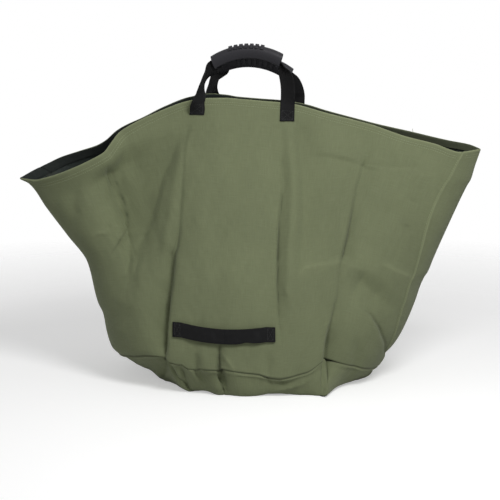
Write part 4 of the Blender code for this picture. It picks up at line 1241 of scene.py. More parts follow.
class Handle:
    """The places of one handle, from its joint: where its webbing runs and how its grip lies."""

    def __init__(self, front, spread, lift, shift, lean, tilt, yaw, foot_share, crest_share, bends, tabs):
        joint_name = "front_handle_fold" if front else "back_handle_fold"
        joint = next(found for found in frame["joints"] if found["name"] == joint_name)
        side = 1 if front else -1
        tilt, yaw = math.radians(tilt), math.radians(yaw)
        self.front = front
        self.start = np.array(joint["pos_m"])
        self.axis = unit(np.array(joint["axis"]))
        self.end = self.start + self.axis * spread
        self.rise = unit(np.cross([0.0, -side, 0.0], self.axis))
        self.outside = np.cross(self.axis, self.rise)
        middle = (self.start + self.end) / 2
        self.centre = middle - self.outside * (WEBBING / 2 + lean) + self.axis * shift + self.rise * lift
        leaning = unit(self.rise * lift - self.outside * lean)
        sideways = unit(self.outside - leaning * np.dot(self.outside, leaning))
        ahead = self.axis * math.cos(yaw) + sideways * math.sin(yaw)
        self.along = ahead * math.cos(tilt) + leaning * math.sin(tilt)
        self.up = leaning * math.cos(tilt) - ahead * math.sin(tilt)
        self.out = np.cross(self.along, self.up)
        self.radius = ((GRIP_LENGTH / 2) ** 2 + GRIP_RISE**2) / (2 * GRIP_RISE)
        self.half_angle = math.asin(GRIP_LENGTH / 2 / self.radius)
        self.foot_share, self.crest_share = foot_share, crest_share
        self.leave = self.half_angle * foot_share
        self.bends = bends
        self.tabs = tabs

    def arc(self, angle):
        """Point, tangent and upward direction of the grip's middle line, angle 0 at its crest."""
        up = self.along * math.sin(angle) + self.up * math.cos(angle)
        tangent = self.along * math.cos(angle) - self.up * math.sin(angle)
        return self.centre + (up - self.up) * self.radius, tangent, up

    def leg(self, hinge, angle, bend):
        """Rows of a leg from its hinge to the grip: where each is, how it is turned and how far folded."""
        end, tangent, _ = self.arc(angle)
        start = hinge - self.outside * (WEBBING / 2) + self.rise * GAP
        away = -tangent if angle < 0 else tangent
        a, b, c, d = (start, start + self.rise * bend.run_up, end + away * bend.run_in, end)
        frames = []
        for share in np.linspace(0, 1, LEG_ROWS):
            rest = 1 - share
            point = a * rest**3 + b * 3 * rest**2 * share + c * 3 * rest * share**2 + d * share**3
            slope = (b - a) * rest**2 + (c - b) * 2 * rest * share + (d - c) * share**2
            forward = unit(slope) if angle < 0 else -unit(slope)
            side = unit(np.cross(mix(self.outside, self.out, share), forward))
            face = np.cross(forward, side)
            turn = math.radians(float(through(bend.turns, share)))
            fold = math.radians(float(through(bend.folds, share)))
            turned = side * math.cos(turn) + face * math.sin(turn)
            frames.append((point, turned, np.cross(forward, turned), fold))
        return frames if angle < 0 else frames[::-1]

    def tab_points(self, tab, across, share, lift):
        """Points on a sewn end: across it (-1 to 1), down it (0 to 1 from the rim) and off the wall."""
        across, share = np.broadcast_arrays(across, share)
        top = turn_at(tab.place, self.front)
        rise = rise_below_rim(top, tab.length * share)
        reach = (plain_skin(np.full(rise.shape, top), rise)[..., 0] - CENTRE_SHIFT) / math.cos(top)
        angle = np.arccos((tab.place + tab.lean * share) / reach)
        middle = 2 * math.pi - angle if self.front else angle
        twist = math.radians(tab.twist) * smooth_step((1 - share) * 1.25)
        half = WEBBING_WIDTH / 2 / reach / np.sin(angle) * np.cos(twist)
        turns = middle + half * across
        slope = plain_skin(turns, 1.0)[..., 2] - plain_skin(middle, 1.0)[..., 2]
        rises = rise_below_rim(turns, tab.length * share + slope * share)
        edge = (1 - across) * WEBBING_WIDTH / 2 * np.sin(twist)
        return on_skin(turns, rises, edge + lift), outward(skin, turns, rises)

    def tab_rows(self, tab, thickness):
        """Rows of points across a sewn end, from its lower edge up to the rim."""
        across = np.linspace(-1, 1, WEBBING_COLUMNS)[None, :]
        lift = thickness / 2 + GAP + WEBBING / 2
        return list(self.tab_points(tab, across, np.linspace(1, 0, TAB_ROWS)[:, None], lift)[0])

    def strap_grid(self, thickness):
        """The whole strap: up from one sewn end, through the grip and down to the other sewn end."""
        left, right = self.bends
        frames = self.leg(self.start, -self.leave, left)[:-1]
        for angle in np.linspace(-self.leave, self.leave, GRIP_ROWS):
            point, tangent, up = self.arc(angle)
            inside = float(smooth_step((self.leave - abs(angle)) / INSIDE_FOLD_RUN))
            end = left.folds[-1][1] if angle < 0 else right.folds[-1][1]
            fold = math.radians(mix(end, INSIDE_FOLD, inside))
            point = point + up * (1 - math.cos(fold)) * WEBBING_WIDTH / 2 * inside
            frames.append((point, up, np.cross(tangent, up), fold))
        frames += self.leg(self.end, self.leave, right)[1:]
        rows = self.tab_rows(self.tabs[0], thickness)
        across = np.linspace(-0.5, 0.5, WEBBING_COLUMNS)[:, None] * WEBBING_WIDTH
        for point, side, face, fold in frames:
            deep = (np.abs(across) - WEBBING_WIDTH / 4) * math.sin(fold)
            rows.append(point + side * across * math.cos(fold) + face * deep)
        rows += self.tab_rows(self.tabs[1], thickness)[::-1]
        return rows


def settle_rows(rows):
    """Turns each row of a strap the way the one before it runs, so that the strap never crosses itself."""
    settled = [rows[0]]
    for row in rows[1:]:
        before = settled[-1]
        straight = np.linalg.norm(row - before, axis=1).sum()
        crossed = np.linalg.norm(row[::-1] - before, axis=1).sum()
        settled.append(row if straight <= crossed else row[::-1])
    return np.array(settled)


def handles():
    """Both handles, in metres and degrees: the leg at the joint's own place comes first."""
    level = ((0, 0), (1, 0))
    front = Handle(
        front=True, spread=0.153, lift=0.071, shift=0.001, lean=0.001, tilt=5.2, yaw=7,
        foot_share=0.93, crest_share=0.86,
        bends=(
            Bend(
                0.028, 0.008, turns=((0, 52), (0.1, 66), (0.28, 76), (0.5, 70), (0.85, 18), (1, 0)),
                folds=level),
            Bend(
                0.034, 0.006, turns=((0, 12), (0.5, 18), (0.8, 30), (1, 0)),
                folds=((0, 0), (0.4, 8), (0.75, 50), (1, 72))),
        ),
        tabs=(Tab(-0.0865, 0.0265, lean=-0.0072, twist=50), Tab(0.0655, 0.032, lean=-0.001, twist=0)),
    )
    back = Handle(
        front=False, spread=0.1532, lift=0.0565, shift=0.0035, lean=0.0199, tilt=-1.4, yaw=7,
        foot_share=1.0, crest_share=0.92,
        bends=(
            Bend(0.012, 0.014, turns=((0, 0), (0.35, 18), (0.6, 25), (1, 0)), folds=level),
            Bend(0.010, 0.014, turns=((0, 30), (0.3, 48), (0.6, 50), (0.85, 22), (1, 0)), folds=level),
        ),
        tabs=(Tab(0.0845, TAB_LENGTH, lean=0.002, twist=0), Tab(-0.0675, TAB_LENGTH, lean=0.002, twist=0)),
    )
    return {"front": front, "back": back}


class LEAFBAG_OT_handle_straps(Operator):
    """Lay the webbing of both handles, sewn flat below the rim and bent up through the grips"""

    bl_idname = "leafbag.handle_straps"
    bl_label = "Handle straps"

    def execute(self, context):
        look = context.scene.leafbag_straps
        cloth = context.scene.leafbag_cloth
        for side, handle in handles().items():
            grid = settle_rows(handle.strap_grid(cloth.thickness)).transpose(1, 0, 2)
            strap = webbing_strip(f"{side}_handle_strap", grid, webbing_finish(look))
            tabs = [f"{side}_{end}_tab" for end in ("left", "right")]
            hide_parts(f"{side}_handle_webbing", *tabs)
            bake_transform(strap)
        return {"FINISHED"}


# The grip's section: how much its cheeks taper, its rolled lips, and how its slot is eased and crowned
GRIP_TAPER = 0.0022
GRIP_LIP = 0.003
SLOT_EASE = 0.0006
SLOT_CROWN = 0.0004

# Ribs: steps along the grip from one to the next, how many of them one reaches either way, where a cheek
# begins as a share of the grip's depth, how far they reach down the inner cheek, and the rounding of their
# edges as a share of their flank
STEPS_PER_RIB = 6
RIB_REACH = 2
CHEEK_SHARE = 0.45
CHEEK_DROP = 0.011
BEVEL_SHARE = 0.8


class LEAFBAG_OT_grips(Operator):
    """Mould the two rubber grips, smooth outside and ribbed over the crest and the inner cheek"""

    bl_idname = "leafbag.grips"
    bl_label = "Grips"

    def execute(self, context):
        look = context.scene.leafbag_grips
        for side, handle in handles().items():
            grip = moulded_grip(f"{side}_grip_sleeve", handle, look)
            dress(grip, rubber_finish(look))
            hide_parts(f"{side}_grip")
            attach(grip, f"{side}_handle")
        return {"FINISHED"}


def grip_section():
    """The grip's section as (out, up): round over the top, full cheeks, two rolled lips and a slot."""
    half, slot = GRIP_DEPTH / 2, GRIP_SLOT / 2
    roof = WEBBING_WIDTH / 2 + GAP
    crest = roof + (GRIP_DEPTH - GRIP_SLOT) / 2
    foot = crest - GRIP_HEIGHT
    spring = crest - half
    points = []
    for angle in np.linspace(0, math.pi, 17):
        points.append((half * math.cos(angle), spring + half * math.sin(angle)))
    for share in np.linspace(0, 1, 7)[1:-1]:
        points.append((-half + GRIP_TAPER * share**2, mix(spring, foot + GRIP_LIP, share)))
    for angle in np.linspace(0, math.pi / 2, 4):
        rolled = 1 - math.cos(angle)
        points.append((GRIP_TAPER - half + GRIP_LIP * rolled, foot + GRIP_LIP * (1 - math.sin(angle))))
    points += [(-slot - SLOT_EASE, foot), (-slot, foot + SLOT_EASE)]
    points += [(-slot, mix(foot, roof, share)) for share in (0.3, 0.6, 0.9)]
    points += [(-slot * 0.8, roof), (0, roof + SLOT_CROWN), (slot * 0.8, roof)]
    points += [(slot, mix(foot, roof, share)) for share in (0.9, 0.6, 0.3)]
    points += [(slot, foot + SLOT_EASE), (slot + SLOT_EASE, foot)]
    for angle in np.linspace(math.pi / 2, 0, 4):
        rolled = 1 - math.cos(angle)
        points.append((half - GRIP_TAPER - GRIP_LIP * rolled, foot + GRIP_LIP * (1 - math.sin(angle))))
    for share in np.linspace(1, 0, 7)[1:-1]:
        points.append((half - GRIP_TAPER * share**2, mix(spring, foot + GRIP_LIP, share)))
    return points


def spun_grip(name, section, handle, steps):
    """Spins the section about the grip's middle, along the arc of the grip, and closes both ends."""
    deselect()
    bpy.ops.mesh.primitive_circle_add(vertices=len(section), radius=GRIP_DEPTH / 2)
    grip = bpy.context.object
    grip.name = name
    grip.data.name = name
    centre = Matrix.Translation((0, 0, handle.radius))
    to_end = centre.inverted() @ Matrix.Rotation(-handle.half_angle, 4, "Y") @ centre
    for vertex, (out, up) in zip(grip.data.vertices, section):
        vertex.co = to_end @ Vector((0, -out, up))
    bpy.ops.object.mode_set(mode="EDIT")
    bpy.ops.mesh.select_all(action="SELECT")
    middle = (0, 0, -handle.radius)
    bpy.ops.mesh.spin(steps=steps, angle=-2 * handle.half_angle, center=middle, axis=(0, 1, 0))
    bpy.ops.mesh.select_all(action="DESELECT")
    bpy.ops.mesh.select_mode(type="EDGE")
    bpy.ops.mesh.select_non_manifold()
    bpy.ops.mesh.fill_holes(sides=0)
    bpy.ops.mesh.select_all(action="SELECT")
    bpy.ops.mesh.normals_make_consistent(inside=False)
    bpy.ops.object.mode_set(mode="OBJECT")
    return grip


def moulded_grip(name, handle, look):
    """Spins the grip's section, raises its ribs and hollows its ends by insets, and slants its ends."""
    section = grip_section()
    steps = int(round(GRIP_LENGTH / look.rib_pitch * STEPS_PER_RIB / 2)) * 2
    grip = spun_grip(name, section, handle, steps)
    mesh = grip.data
    spring = max(up for _, up in section) - GRIP_DEPTH / 2
    foot = min(up for _, up in section)
    ribs, ends = [], []
    for face in mesh.polygons:
        x, z = face.center.x, face.center.z + handle.radius
        place = math.atan2(x, z) / (2 * handle.half_angle) * steps
        height = math.hypot(x, z) - handle.radius
        from_rib = (place + STEPS_PER_RIB / 2) % STEPS_PER_RIB - STEPS_PER_RIB / 2
        on_rib = abs(from_rib) < RIB_REACH and abs(place) < STEPS_PER_RIB * look.rib_count / 2
        crest = height > spring and face.center.y > -GRIP_DEPTH * CHEEK_SHARE
        cheek = face.center.y > GRIP_DEPTH * CHEEK_SHARE and height > spring - CHEEK_DROP
        if len(face.vertices) > 4:
            ends.append(face.index)
        elif on_rib and (crest or cheek):
            ribs.append(face.index)
    inset_faces(grip, ribs, look.rib_flank, look.rib_height)
    inset_faces(grip, ends, look.wall, -look.end_depth)
    for vertex in mesh.vertices:
        x, z = vertex.co.x, vertex.co.z + handle.radius
        reach = math.hypot(x, z)
        share = (reach - handle.radius - foot) / GRIP_HEIGHT
        angle = math.atan2(x, z) * mix(handle.foot_share, handle.crest_share, share)
        vertex.co.x = reach * math.sin(angle)
        vertex.co.z = reach * math.cos(angle) - handle.radius
    apply_modifier(
        grip, "BEVEL", width=look.rib_flank * BEVEL_SHARE, segments=2, limit_method="ANGLE",
        angle_limit=math.radians(38))
    rows = zip(handle.along, -handle.out, handle.up, handle.centre)
    mesh.transform(Matrix([*rows, (0, 0, 0, 1)]))
    smooth(grip, 50)
    return grip


def inset_faces(piece, faces, thickness, depth):
    """Insets some faces as one region and moves them out by a depth."""
    make_active(piece)
    bpy.ops.object.mode_set(mode="EDIT")
    bpy.ops.mesh.select_mode(type="FACE")
    bpy.ops.mesh.select_all(action="DESELECT")
    bpy.ops.object.mode_set(mode="OBJECT")
    for index in faces:
        piece.data.polygons[index].select = True
    bpy.ops.object.mode_set(mode="EDIT")
    bpy.ops.mesh.inset(thickness=thickness, depth=depth, use_individual=False)
    bpy.ops.object.mode_set(mode="OBJECT")


# The pull strap

PULL_LEFT = PULL_SHIFT - PULL_SPAN / 2 + CENTRE_SHIFT
PULL_RIGHT = PULL_SHIFT + PULL_SPAN / 2 + CENTRE_SHIFT

# Rows along the strap's length and in each tucked end, the shares of that end between which it lies, and
# how it turns under: (out, level), as shares
PULL_ROWS = 90
TUCKED_ROWS = 6
TUCKED_SHARES = (0.95, 0.1)
TURN_UNDER_SHARES = ((0.35, 0.25), (0.5, 0.5), (0.35, 0.75))


def pull_height(x):
    """The height of the pull strap's middle line on the wall."""
    return PULL_HEIGHT - (x - PULL_SHIFT) / PULL_SPAN * PULL_DROP


def on_front(x, height):
    """The turns and rises of the front wall's points at these places across it and heights.

    They are found in steps by the slope there, from a point low in the wall's middle."""
    turn, rise = np.full(x.shape, 1.5 * math.pi), np.full(x.shape, 0.2)
    step = 1e-4
    for _ in range(12):
        here = plain_skin(turn, rise)
        by_turn = (plain_skin(turn + step, rise) - here) / step
        by_rise = (plain_skin(turn, rise + step) - here) / step
        short, low = x - here[..., 0], height - here[..., 2]
        size = by_turn[..., 0] * by_rise[..., 2] - by_turn[..., 2] * by_rise[..., 0]
        turn = turn + (short * by_rise[..., 2] - low * by_rise[..., 0]) / size
        rise = rise + (low * by_turn[..., 0] - short * by_turn[..., 2]) / size
    return turn, rise


def pull_points(x, across, level, thickness):
    """Points of the pull strap's middle surface: level 1 lies on its tucked ends, level 0 under them."""
    x, across, level = np.broadcast_arrays(x, across, level)
    share = np.clip((x - PULL_LEFT - PULL_END) / (PULL_SPAN - 2 * PULL_END), 0, 1)
    arch = 4 * share * (1 - share)
    over = level > 0.9
    curled = np.exp(-(((x - PULL_CURL) / PULL_CURL_WIDTH) ** 2)) * (across < 0) * over
    across = across * (1 - PULL_CURL_SHARE * curled)
    height = pull_height(x) - PULL_SAG * arch * over + across * WEBBING_WIDTH / 2
    turn, rise = on_front(x, height)
    wall, real, out = plain_skin(turn, rise), skin(turn, rise), outward(plain_skin, turn, rise)
    # The strap bridges the wall's small folds: it follows their average, not each one
    lie = ((real - wall) * out).sum(axis=-1)
    lie = np.maximum(lie.mean(axis=-1, keepdims=True), 0)
    loose = (PULL_STANDOFF + PULL_WAVE * np.sin(share * 9.0)) * arch
    lift = thickness / 2 + GAP + WEBBING / 2 + (WEBBING + GAP) * level + loose
    return wall + out * (lie + lift)[..., None], out


def pull_grid(thickness):
    """The pull strap from its tucked left end, over the wall, to its tucked right end."""
    layer = WEBBING + GAP
    tucked = np.linspace(*TUCKED_SHARES, TUCKED_ROWS)
    path = [(PULL_LEFT + PULL_END * share, 0.0) for share in tucked]
    path += [(PULL_LEFT - layer * out, level) for out, level in TURN_UNDER_SHARES]
    ends = PULL_LEFT + PULL_END * tucked[-1], PULL_RIGHT - PULL_END * tucked[-1]
    path += [(x, 1.0) for x in np.linspace(*ends, PULL_ROWS)]
    path += [(PULL_RIGHT + layer * out, level) for out, level in TURN_UNDER_SHARES[::-1]]
    path += [(PULL_RIGHT - PULL_END * share, 0.0) for share in tucked[::-1]]
    x, level = np.array(path).T
    across = np.linspace(-1, 1, WEBBING_COLUMNS)[None, :]
    return pull_points(x[:, None], across, level[:, None], thickness)[0]


class LEAFBAG_OT_pull_strap(Operator):
    """Lay the pull strap low on the front wall, its ends tucked under and sewn, its middle loose"""

    bl_idname = "leafbag.pull_strap"
    bl_label = "Pull strap"

    def execute(self, context):
        finish = webbing_finish(context.scene.leafbag_straps)
        grid = pull_grid(context.scene.leafbag_cloth.thickness)
        half = len(grid) // 2
        for side, rows, nodes in (
            ("left", grid[: half + 1], ["pull_strap_left_end", "pull_strap"]),
            ("right", grid[half:], ["pull_strap_right_end"]),
        ):
            strap = webbing_strip(f"pull_strap_{side}_half", rows.transpose(1, 0, 2)[::-1], finish)
            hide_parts(*nodes)
            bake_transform(strap)
        return {"FINISHED"}


# Sewing

# A stitch's length as a share of the row's pitch, and its height as a share of its width
STITCH_SHARE = 0.86
STITCH_HEIGHT_SHARE = 0.8

# How high the thread's middle lies over cloth and over webbing, and how thick a loose thread is, as shares
CLOTH_LIFT_SHARE = 0.1
WEBBING_LIFT_SHARE = 0.15
LOOSE_THREAD_SHARE = 0.55

# Points along a hem's and a side seam's rows, how many the hem leaves out at its ends, and the seam's start
HEM_POINTS = 700
SEAM_POINTS = 300
HEM_ENDS = 6
SEAM_START_SHARE = 0.02

# The sewn boxes. On a tab, as shares of it: left, right, low and high, down from the rim, and the step
# between points. On the pull strap: half their height, how far in from its end they begin, and the step
TAB_BOX_SHARES = (-0.76, 0.76, 0.90, 0.42)
TAB_BOX_STEP_SHARE = 0.06
PULL_BOX_HALF = 0.0095
PULL_BOX_EDGE = 0.0022
PULL_BOX_STEP = 0.001


def stitch_template():
    """One stitch: a short thread, thickest in its middle, whose ends dive into the cloth."""
    deselect()
    bpy.ops.mesh.primitive_uv_sphere_add(segments=6, ring_count=5, radius=0.5)
    shape = bpy.context.object
    shape.rotation_euler = (0, math.pi / 2, 0)
    bpy.ops.object.transform_apply(location=False, rotation=True, scale=False)
    points = np.array([vertex.co for vertex in shape.data.vertices])
    faces = [tuple(face.vertices) for face in shape.data.polygons]
    bpy.data.objects.remove(shape, do_unlink=True)
    return points, faces


def along_run(places, run, line):
    """Points of a line at these distances along it."""
    return np.stack([np.interp(places, run, line[:, axis]) for axis in range(3)], axis=1)


def stitch_row(name, line, outs, look, finish):
    """Stitches in a row along a line of points, lying on the side that outs points to."""
    points, faces = stitch_template()
    run = run_length(line, 0)
    pitch = look.stitch_length
    count = max(int(run[-1] / pitch), 1)
    places = (np.arange(count) + 0.5) * run[-1] / count
    at = along_run(places, run, line)
    along = unit(along_run(places + pitch * 0.3, run, line) - along_run(places - pitch * 0.3, run, line))
    side = unit(np.cross(unit(along_run(places, run, outs)), along))
    out = np.cross(along, side)
    size = np.array([pitch * STITCH_SHARE, look.thread, look.thread * STITCH_HEIGHT_SHARE])
    x, y, z = (points * size).T
    ways = ((along, x), (side, y), (out, z))
    world = at[:, None] + sum(way[:, None] * reach[:, None] for way, reach in ways)
    every = []
    for number in range(count):
        every += [tuple(corner + number * len(points) for corner in face) for face in faces]
    mesh = bpy.data.meshes.new(name)
    mesh.from_pydata(world.reshape(-1, 3).tolist(), [], every)
    mesh.update()
    row = bpy.data.objects.new(name, mesh)
    bpy.context.scene.collection.objects.link(row)
    dress(row, finish)
    mesh.shade_smooth()
    return row


def line_on_skin(turns, rises, distance):
    return on_skin(turns, rises, 0 * turns + distance), outward(skin, turns, rises)


def box_path(left, right, low, high, step):
    """A sewn box with its cross, as places across and up, a step apart."""
    corners = [(left, low), (right, low), (right, high), (left, high), (left, low)]
    corners += [(right, high), (right, low), (left, high)]
    places = []
    for (x0, y0), (x1, y1) in zip(corners, corners[1:]):
        count = max(int(math.hypot(x1 - x0, y1 - y0) / step), 2)
        shares = np.linspace(0, 1, count, endpoint=False)
        places += [(mix(x0, x1, share), mix(y0, y1, share)) for share in shares]
    return np.array(places + corners[-1:]).T


def loose_thread(name, start, steps, look, finish):
    """A cut end of thread: a bent tube from a point through the steps that follow."""
    deselect()
    bpy.ops.curve.primitive_nurbs_path_add()
    thread = bpy.context.object
    thread.name = name
    places = np.cumsum([start, *steps], axis=0)
    points = thread.data.splines[0].points
    for point, place in zip(points, places):
        point.co = (*place, 1)
    thread.data.bevel_depth = look.thread * LOOSE_THREAD_SHARE
    thread.data.bevel_resolution = 2
    thread.data.use_fill_caps = True
    make_active(thread)
    bpy.ops.object.convert(target="MESH")
    thread = bpy.context.object
    dress(thread, finish)
    smooth(thread, 60)
    return thread


class LEAFBAG_OT_sewing(Operator):
    """Sew the hems, the side seams, the sewn ends of the handles and of the pull strap"""

    bl_idname = "leafbag.sewing"
    bl_label = "Stitching"

    def execute(self, context):
        look = context.scene.leafbag_sewing
        thickness = context.scene.leafbag_cloth.thickness
        surface = thickness / 2 + look.thread * CLOTH_LIFT_SHARE
        green = plain_finish("olive thread", look.thread_colour, 0.6, 2500.0, 0.0001, 0.2)
        black = plain_finish("black thread", look.black_thread_colour, 0.7, 2500.0, 0.0001)
        rows = []
        for side, front in (("front", True), ("back", False)):
            turns = wall_turns(front, HEM_POINTS)[HEM_ENDS:-HEM_ENDS]
            for number, drop in enumerate((look.upper_row, look.lower_row), 1):
                line, outs = line_on_skin(turns, rise_below_rim(turns, drop), surface)
                rows.append(stitch_row(f"{side}_hem_stitches_{number}", line, outs, look, green))
        for side, seam in (("right", RIGHT_SEAM), ("left", LEFT_SEAM)):
            rises = np.linspace(SEAM_START_SHARE, rise_below_rim(seam, HEM_DEPTH), SEAM_POINTS)
            turns = seam - look.seam_row / HALF_MOUTH / math.sin(SEAM_TURN) + 0 * rises
            line, outs = line_on_skin(turns, rises, surface + thickness)
            rows.append(stitch_row(f"{side}_seam_stitches", line, outs, look, green))
        over = look.thread * WEBBING_LIFT_SHARE
        top = thickness / 2 + GAP + WEBBING + over
        for side, handle in handles().items():
            for end, tab in zip(("left", "right"), handle.tabs):
                across, share = box_path(*TAB_BOX_SHARES, TAB_BOX_STEP_SHARE)
                line, outs = handle.tab_points(tab, across, share, top)
                rows.append(stitch_row(f"{side}_{end}_tab_stitches", line, outs, look, black))
        for end, sewn, way in (("left", PULL_LEFT, 1), ("right", PULL_RIGHT, -1)):
            near, far = sewn + way * PULL_BOX_EDGE, sewn + way * look.end_row
            x, across = box_path(near, far, -PULL_BOX_HALF, PULL_BOX_HALF, PULL_BOX_STEP)
            line, outs = pull_points(x[:, None], across[:, None] / WEBBING_WIDTH * 2, 1.0, thickness)
            line = line + outs * (WEBBING / 2 + over)
            rows.append(stitch_row(f"pull_strap_{end}_stitches", line[:, 0], outs[:, 0], look, black))
        rim = on_skin(turn_at(look.back_tuft, False), 1.0, 0.0)
        tail = [(0.0004, 0, 0.001), (-0.0006, 0, 0.0022), (-0.0012, -0.0005, 0.0022), (0.0006, 0, 0.0018)]
        rows.append(loose_thread("back_loose_thread", rim, tail, look, green))
        place = turn_at(look.front_tuft, True)
        hem = on_skin(place, rise_below_rim(place, look.lower_row), surface)
        tail = [
            (0.0008, -0.0006, -0.0008), (0.0022, -0.0004, 0.0006), (0.0016, 0, 0.0018),
            (-0.0018, 0, 0.001),
        ]
        rows.append(loose_thread("front_loose_thread", hem, tail, look, green))
        for row in rows:
            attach(row, "bag")
        return {"FINISHED"}


# Stage

# Where the lights stand, how wide they are and where they point, and the camera's sensor in millimetres
KEY_PLACE = (0.42, -0.98, 1.26)
KEY_SIZE = 0.6
FILL_PLACE = (-1.6, -2.8, 1.6)
FILL_SIZE = 2.0
LIT_PLACE = (0, 0, 0.25)
SENSOR_WIDTH = 36


class LEAFBAG_OT_stage(Operator):
    """Lay the pale floor, and set the soft studio lights and the camera"""

    bl_idname = "leafbag.stage"
    bl_label = "Stage"

    def execute(self, context):
        look = context.scene.leafbag_stage
        floor = pale_floor(look)
        studio_world(context.scene, look)
        for name, place, size, power in (
            ("key light", KEY_PLACE, KEY_SIZE, look.key_power),
            ("fill light", FILL_PLACE, FILL_SIZE, look.fill_power),
        ):
            deselect()
            bpy.ops.object.light_add(type="AREA", location=place)
            lamp = bpy.context.object
            lamp.name = name
            lamp.data.shape = "DISK"
            lamp.data.size = size
            lamp.data.energy = power
            lamp.rotation_euler = (Vector(LIT_PLACE) - Vector(place)).to_track_quat("-Z", "Y").to_euler()
        rise = look.camera_elevation
        target = Vector((0, 0, look.camera_height))
        place = target + Vector((0, -math.cos(rise), math.sin(rise))) * look.camera_distance
        deselect()
        bpy.ops.object.camera_add(location=place, rotation=(math.pi / 2 - rise, 0, 0))
        camera = bpy.context.object
        camera.data.lens = look.camera_lens
        camera.data.sensor_width = SENSOR_WIDTH
        context.scene.camera = camera
        context.scene.view_settings.view_transform = "Standard"
        return {"FINISHED"}


def pale_floor(look):
    """A round pale floor that thins out for the camera, so that the white ground runs on past it."""
    deselect()
    bpy.ops.mesh.primitive_circle_add(vertices=96, radius=look.floor_radius, fill_type="NGON")
    floor = bpy.context.object
    floor.name = "floor"
    made = bpy.data.materials.new("pale floor")
    made.use_nodes = True
    nodes = Nodes(made.node_tree)
    shader = made.node_tree.nodes["Principled BSDF"]
    shader.inputs["Base Color"].default_value = (*look.floor_colour, 1)
    shader.inputs["Roughness"].default_value = 0.7
    shader.inputs["Specular IOR Level"].default_value = 0.1
    apart = nodes.add("VectorMath", operation="LENGTH")
    nodes.link(nodes.add("TexCoord").outputs["Object"], apart.inputs[0])
    far = nodes.spread(apart.outputs["Value"], look.floor_radius * 0.45, look.floor_radius * 0.95)
    camera_ray = nodes.add("LightPath").outputs["Is Camera Ray"]
    seen = nodes.math("MULTIPLY", far, camera_ray)
    shader.inputs["Emission Color"].default_value = (1, 1, 1, 1)
    glow = nodes.math("MULTIPLY", camera_ray, look.floor_glow)
    nodes.link(glow, shader.inputs["Emission Strength"])
    clear = nodes.add("BsdfTransparent")
    blend = nodes.add("MixShader")
    nodes.link(seen, blend.inputs[0])
    nodes.link(shader.outputs[0], blend.inputs[1])
    nodes.link(clear.outputs[0], blend.inputs[2])
    nodes.link(blend.outputs[0], made.node_tree.nodes["Material Output"].inputs["Surface"])
    dress(floor, made)
    return floor


def studio_world(scene, look):
    """Even pale light from all round, and plain white where the camera, glossy and clear rays look."""
    world = bpy.data.worlds.new("studio")
    world.use_nodes = True
    nodes = Nodes(world.node_tree)
    ground = world.node_tree.nodes["Background"]
    path = nodes.add("LightPath")
    white = nodes.math("MAXIMUM", path.outputs["Is Camera Ray"], path.outputs["Is Glossy Ray"])
    white = nodes.math("MAXIMUM", white, path.outputs["Is Transmission Ray"])
    nodes.link(nodes.spread(white, 0.0, 1.0, look.world_strength, 1.0), ground.inputs["Strength"])
    ground.inputs["Color"].default_value = (1, 1, 1, 1)
    scene.world = world


# The add-on's own settings

class ClothLook(PropertyGroup):
    """The canvas of the walls and the base"""

    canvas_colour: FloatVectorProperty(
        name="Canvas", description="Colour of the canvas", default=(0.161, 0.183, 0.0985), subtype="COLOR",
        min=0, max=1)
    # Darker than the coating's own grey, as painted shade inside the bag
    shaded_coating_colour: FloatVectorProperty(
        name="Coating", description="Colour of the coated inside", default=(0.028, 0.036, 0.032),
        subtype="COLOR", min=0, max=1)
    # Also the colour of the painted highlight along the base's groove
    worn_and_highlight_colour: FloatVectorProperty(
        name="Worn cloth and highlight", description="Colour of worn folds and cut edges", default=(0.26, 0.29, 0.16),
        subtype="COLOR", min=0, max=1)
    # The canvas darkened as painted shade, for the hem inside the mouth and the cut edges
    shaded_hem_colour: FloatVectorProperty(
        name="Hem inside", description="Colour of the hem inside the mouth", default=(0.062, 0.07, 0.042),
        subtype="COLOR", min=0, max=1)
    # Darkened as painted shade, to match the shaded mouth
    shaded_binding_colour: FloatVectorProperty(
        name="Seam binding", description="Colour of the tape inside the side seams",
        default=(0.032, 0.038, 0.03), subtype="COLOR", min=0, max=1)
    stay_colour: FloatVectorProperty(
        name="Stays", description="Colour of the flat stays in the hems", default=(0.03, 0.03, 0.031),
        subtype="COLOR", min=0, max=1)
    thickness: FloatProperty(
        name="Thickness", description="Thickness of the canvas", default=0.001, unit="LENGTH")
    thread_pitch: FloatProperty(
        name="Thread pitch", description="Distance between threads", default=0.0007, unit="LENGTH")
    weave_height: FloatProperty(
        name="Weave height", description="Height of the threads", default=0.00022, unit="LENGTH")
    wall_columns: IntProperty(
        name="Wall columns", description="Columns of faces across each wall", default=300,
        subtype="UNSIGNED")
    wall_rows: IntProperty(
        name="Wall rows", description="Rows of points up each wall, below the rim", default=152,
        subtype="UNSIGNED")


class StrapLook(PropertyGroup):
    """The webbing of the handles and the pull strap"""

    webbing_colour: FloatVectorProperty(
        name="Webbing", description="Colour of the webbing", default=(0.0105, 0.0105, 0.011),
        subtype="COLOR", min=0, max=1)
    webbing_pitch: FloatProperty(
        name="Weave pitch", description="Distance between the webbing's threads",
        default=0.0011, unit="LENGTH")
    webbing_relief: FloatProperty(
        name="Weave relief", description="Height of the webbing's threads", default=0.0003, unit="LENGTH")


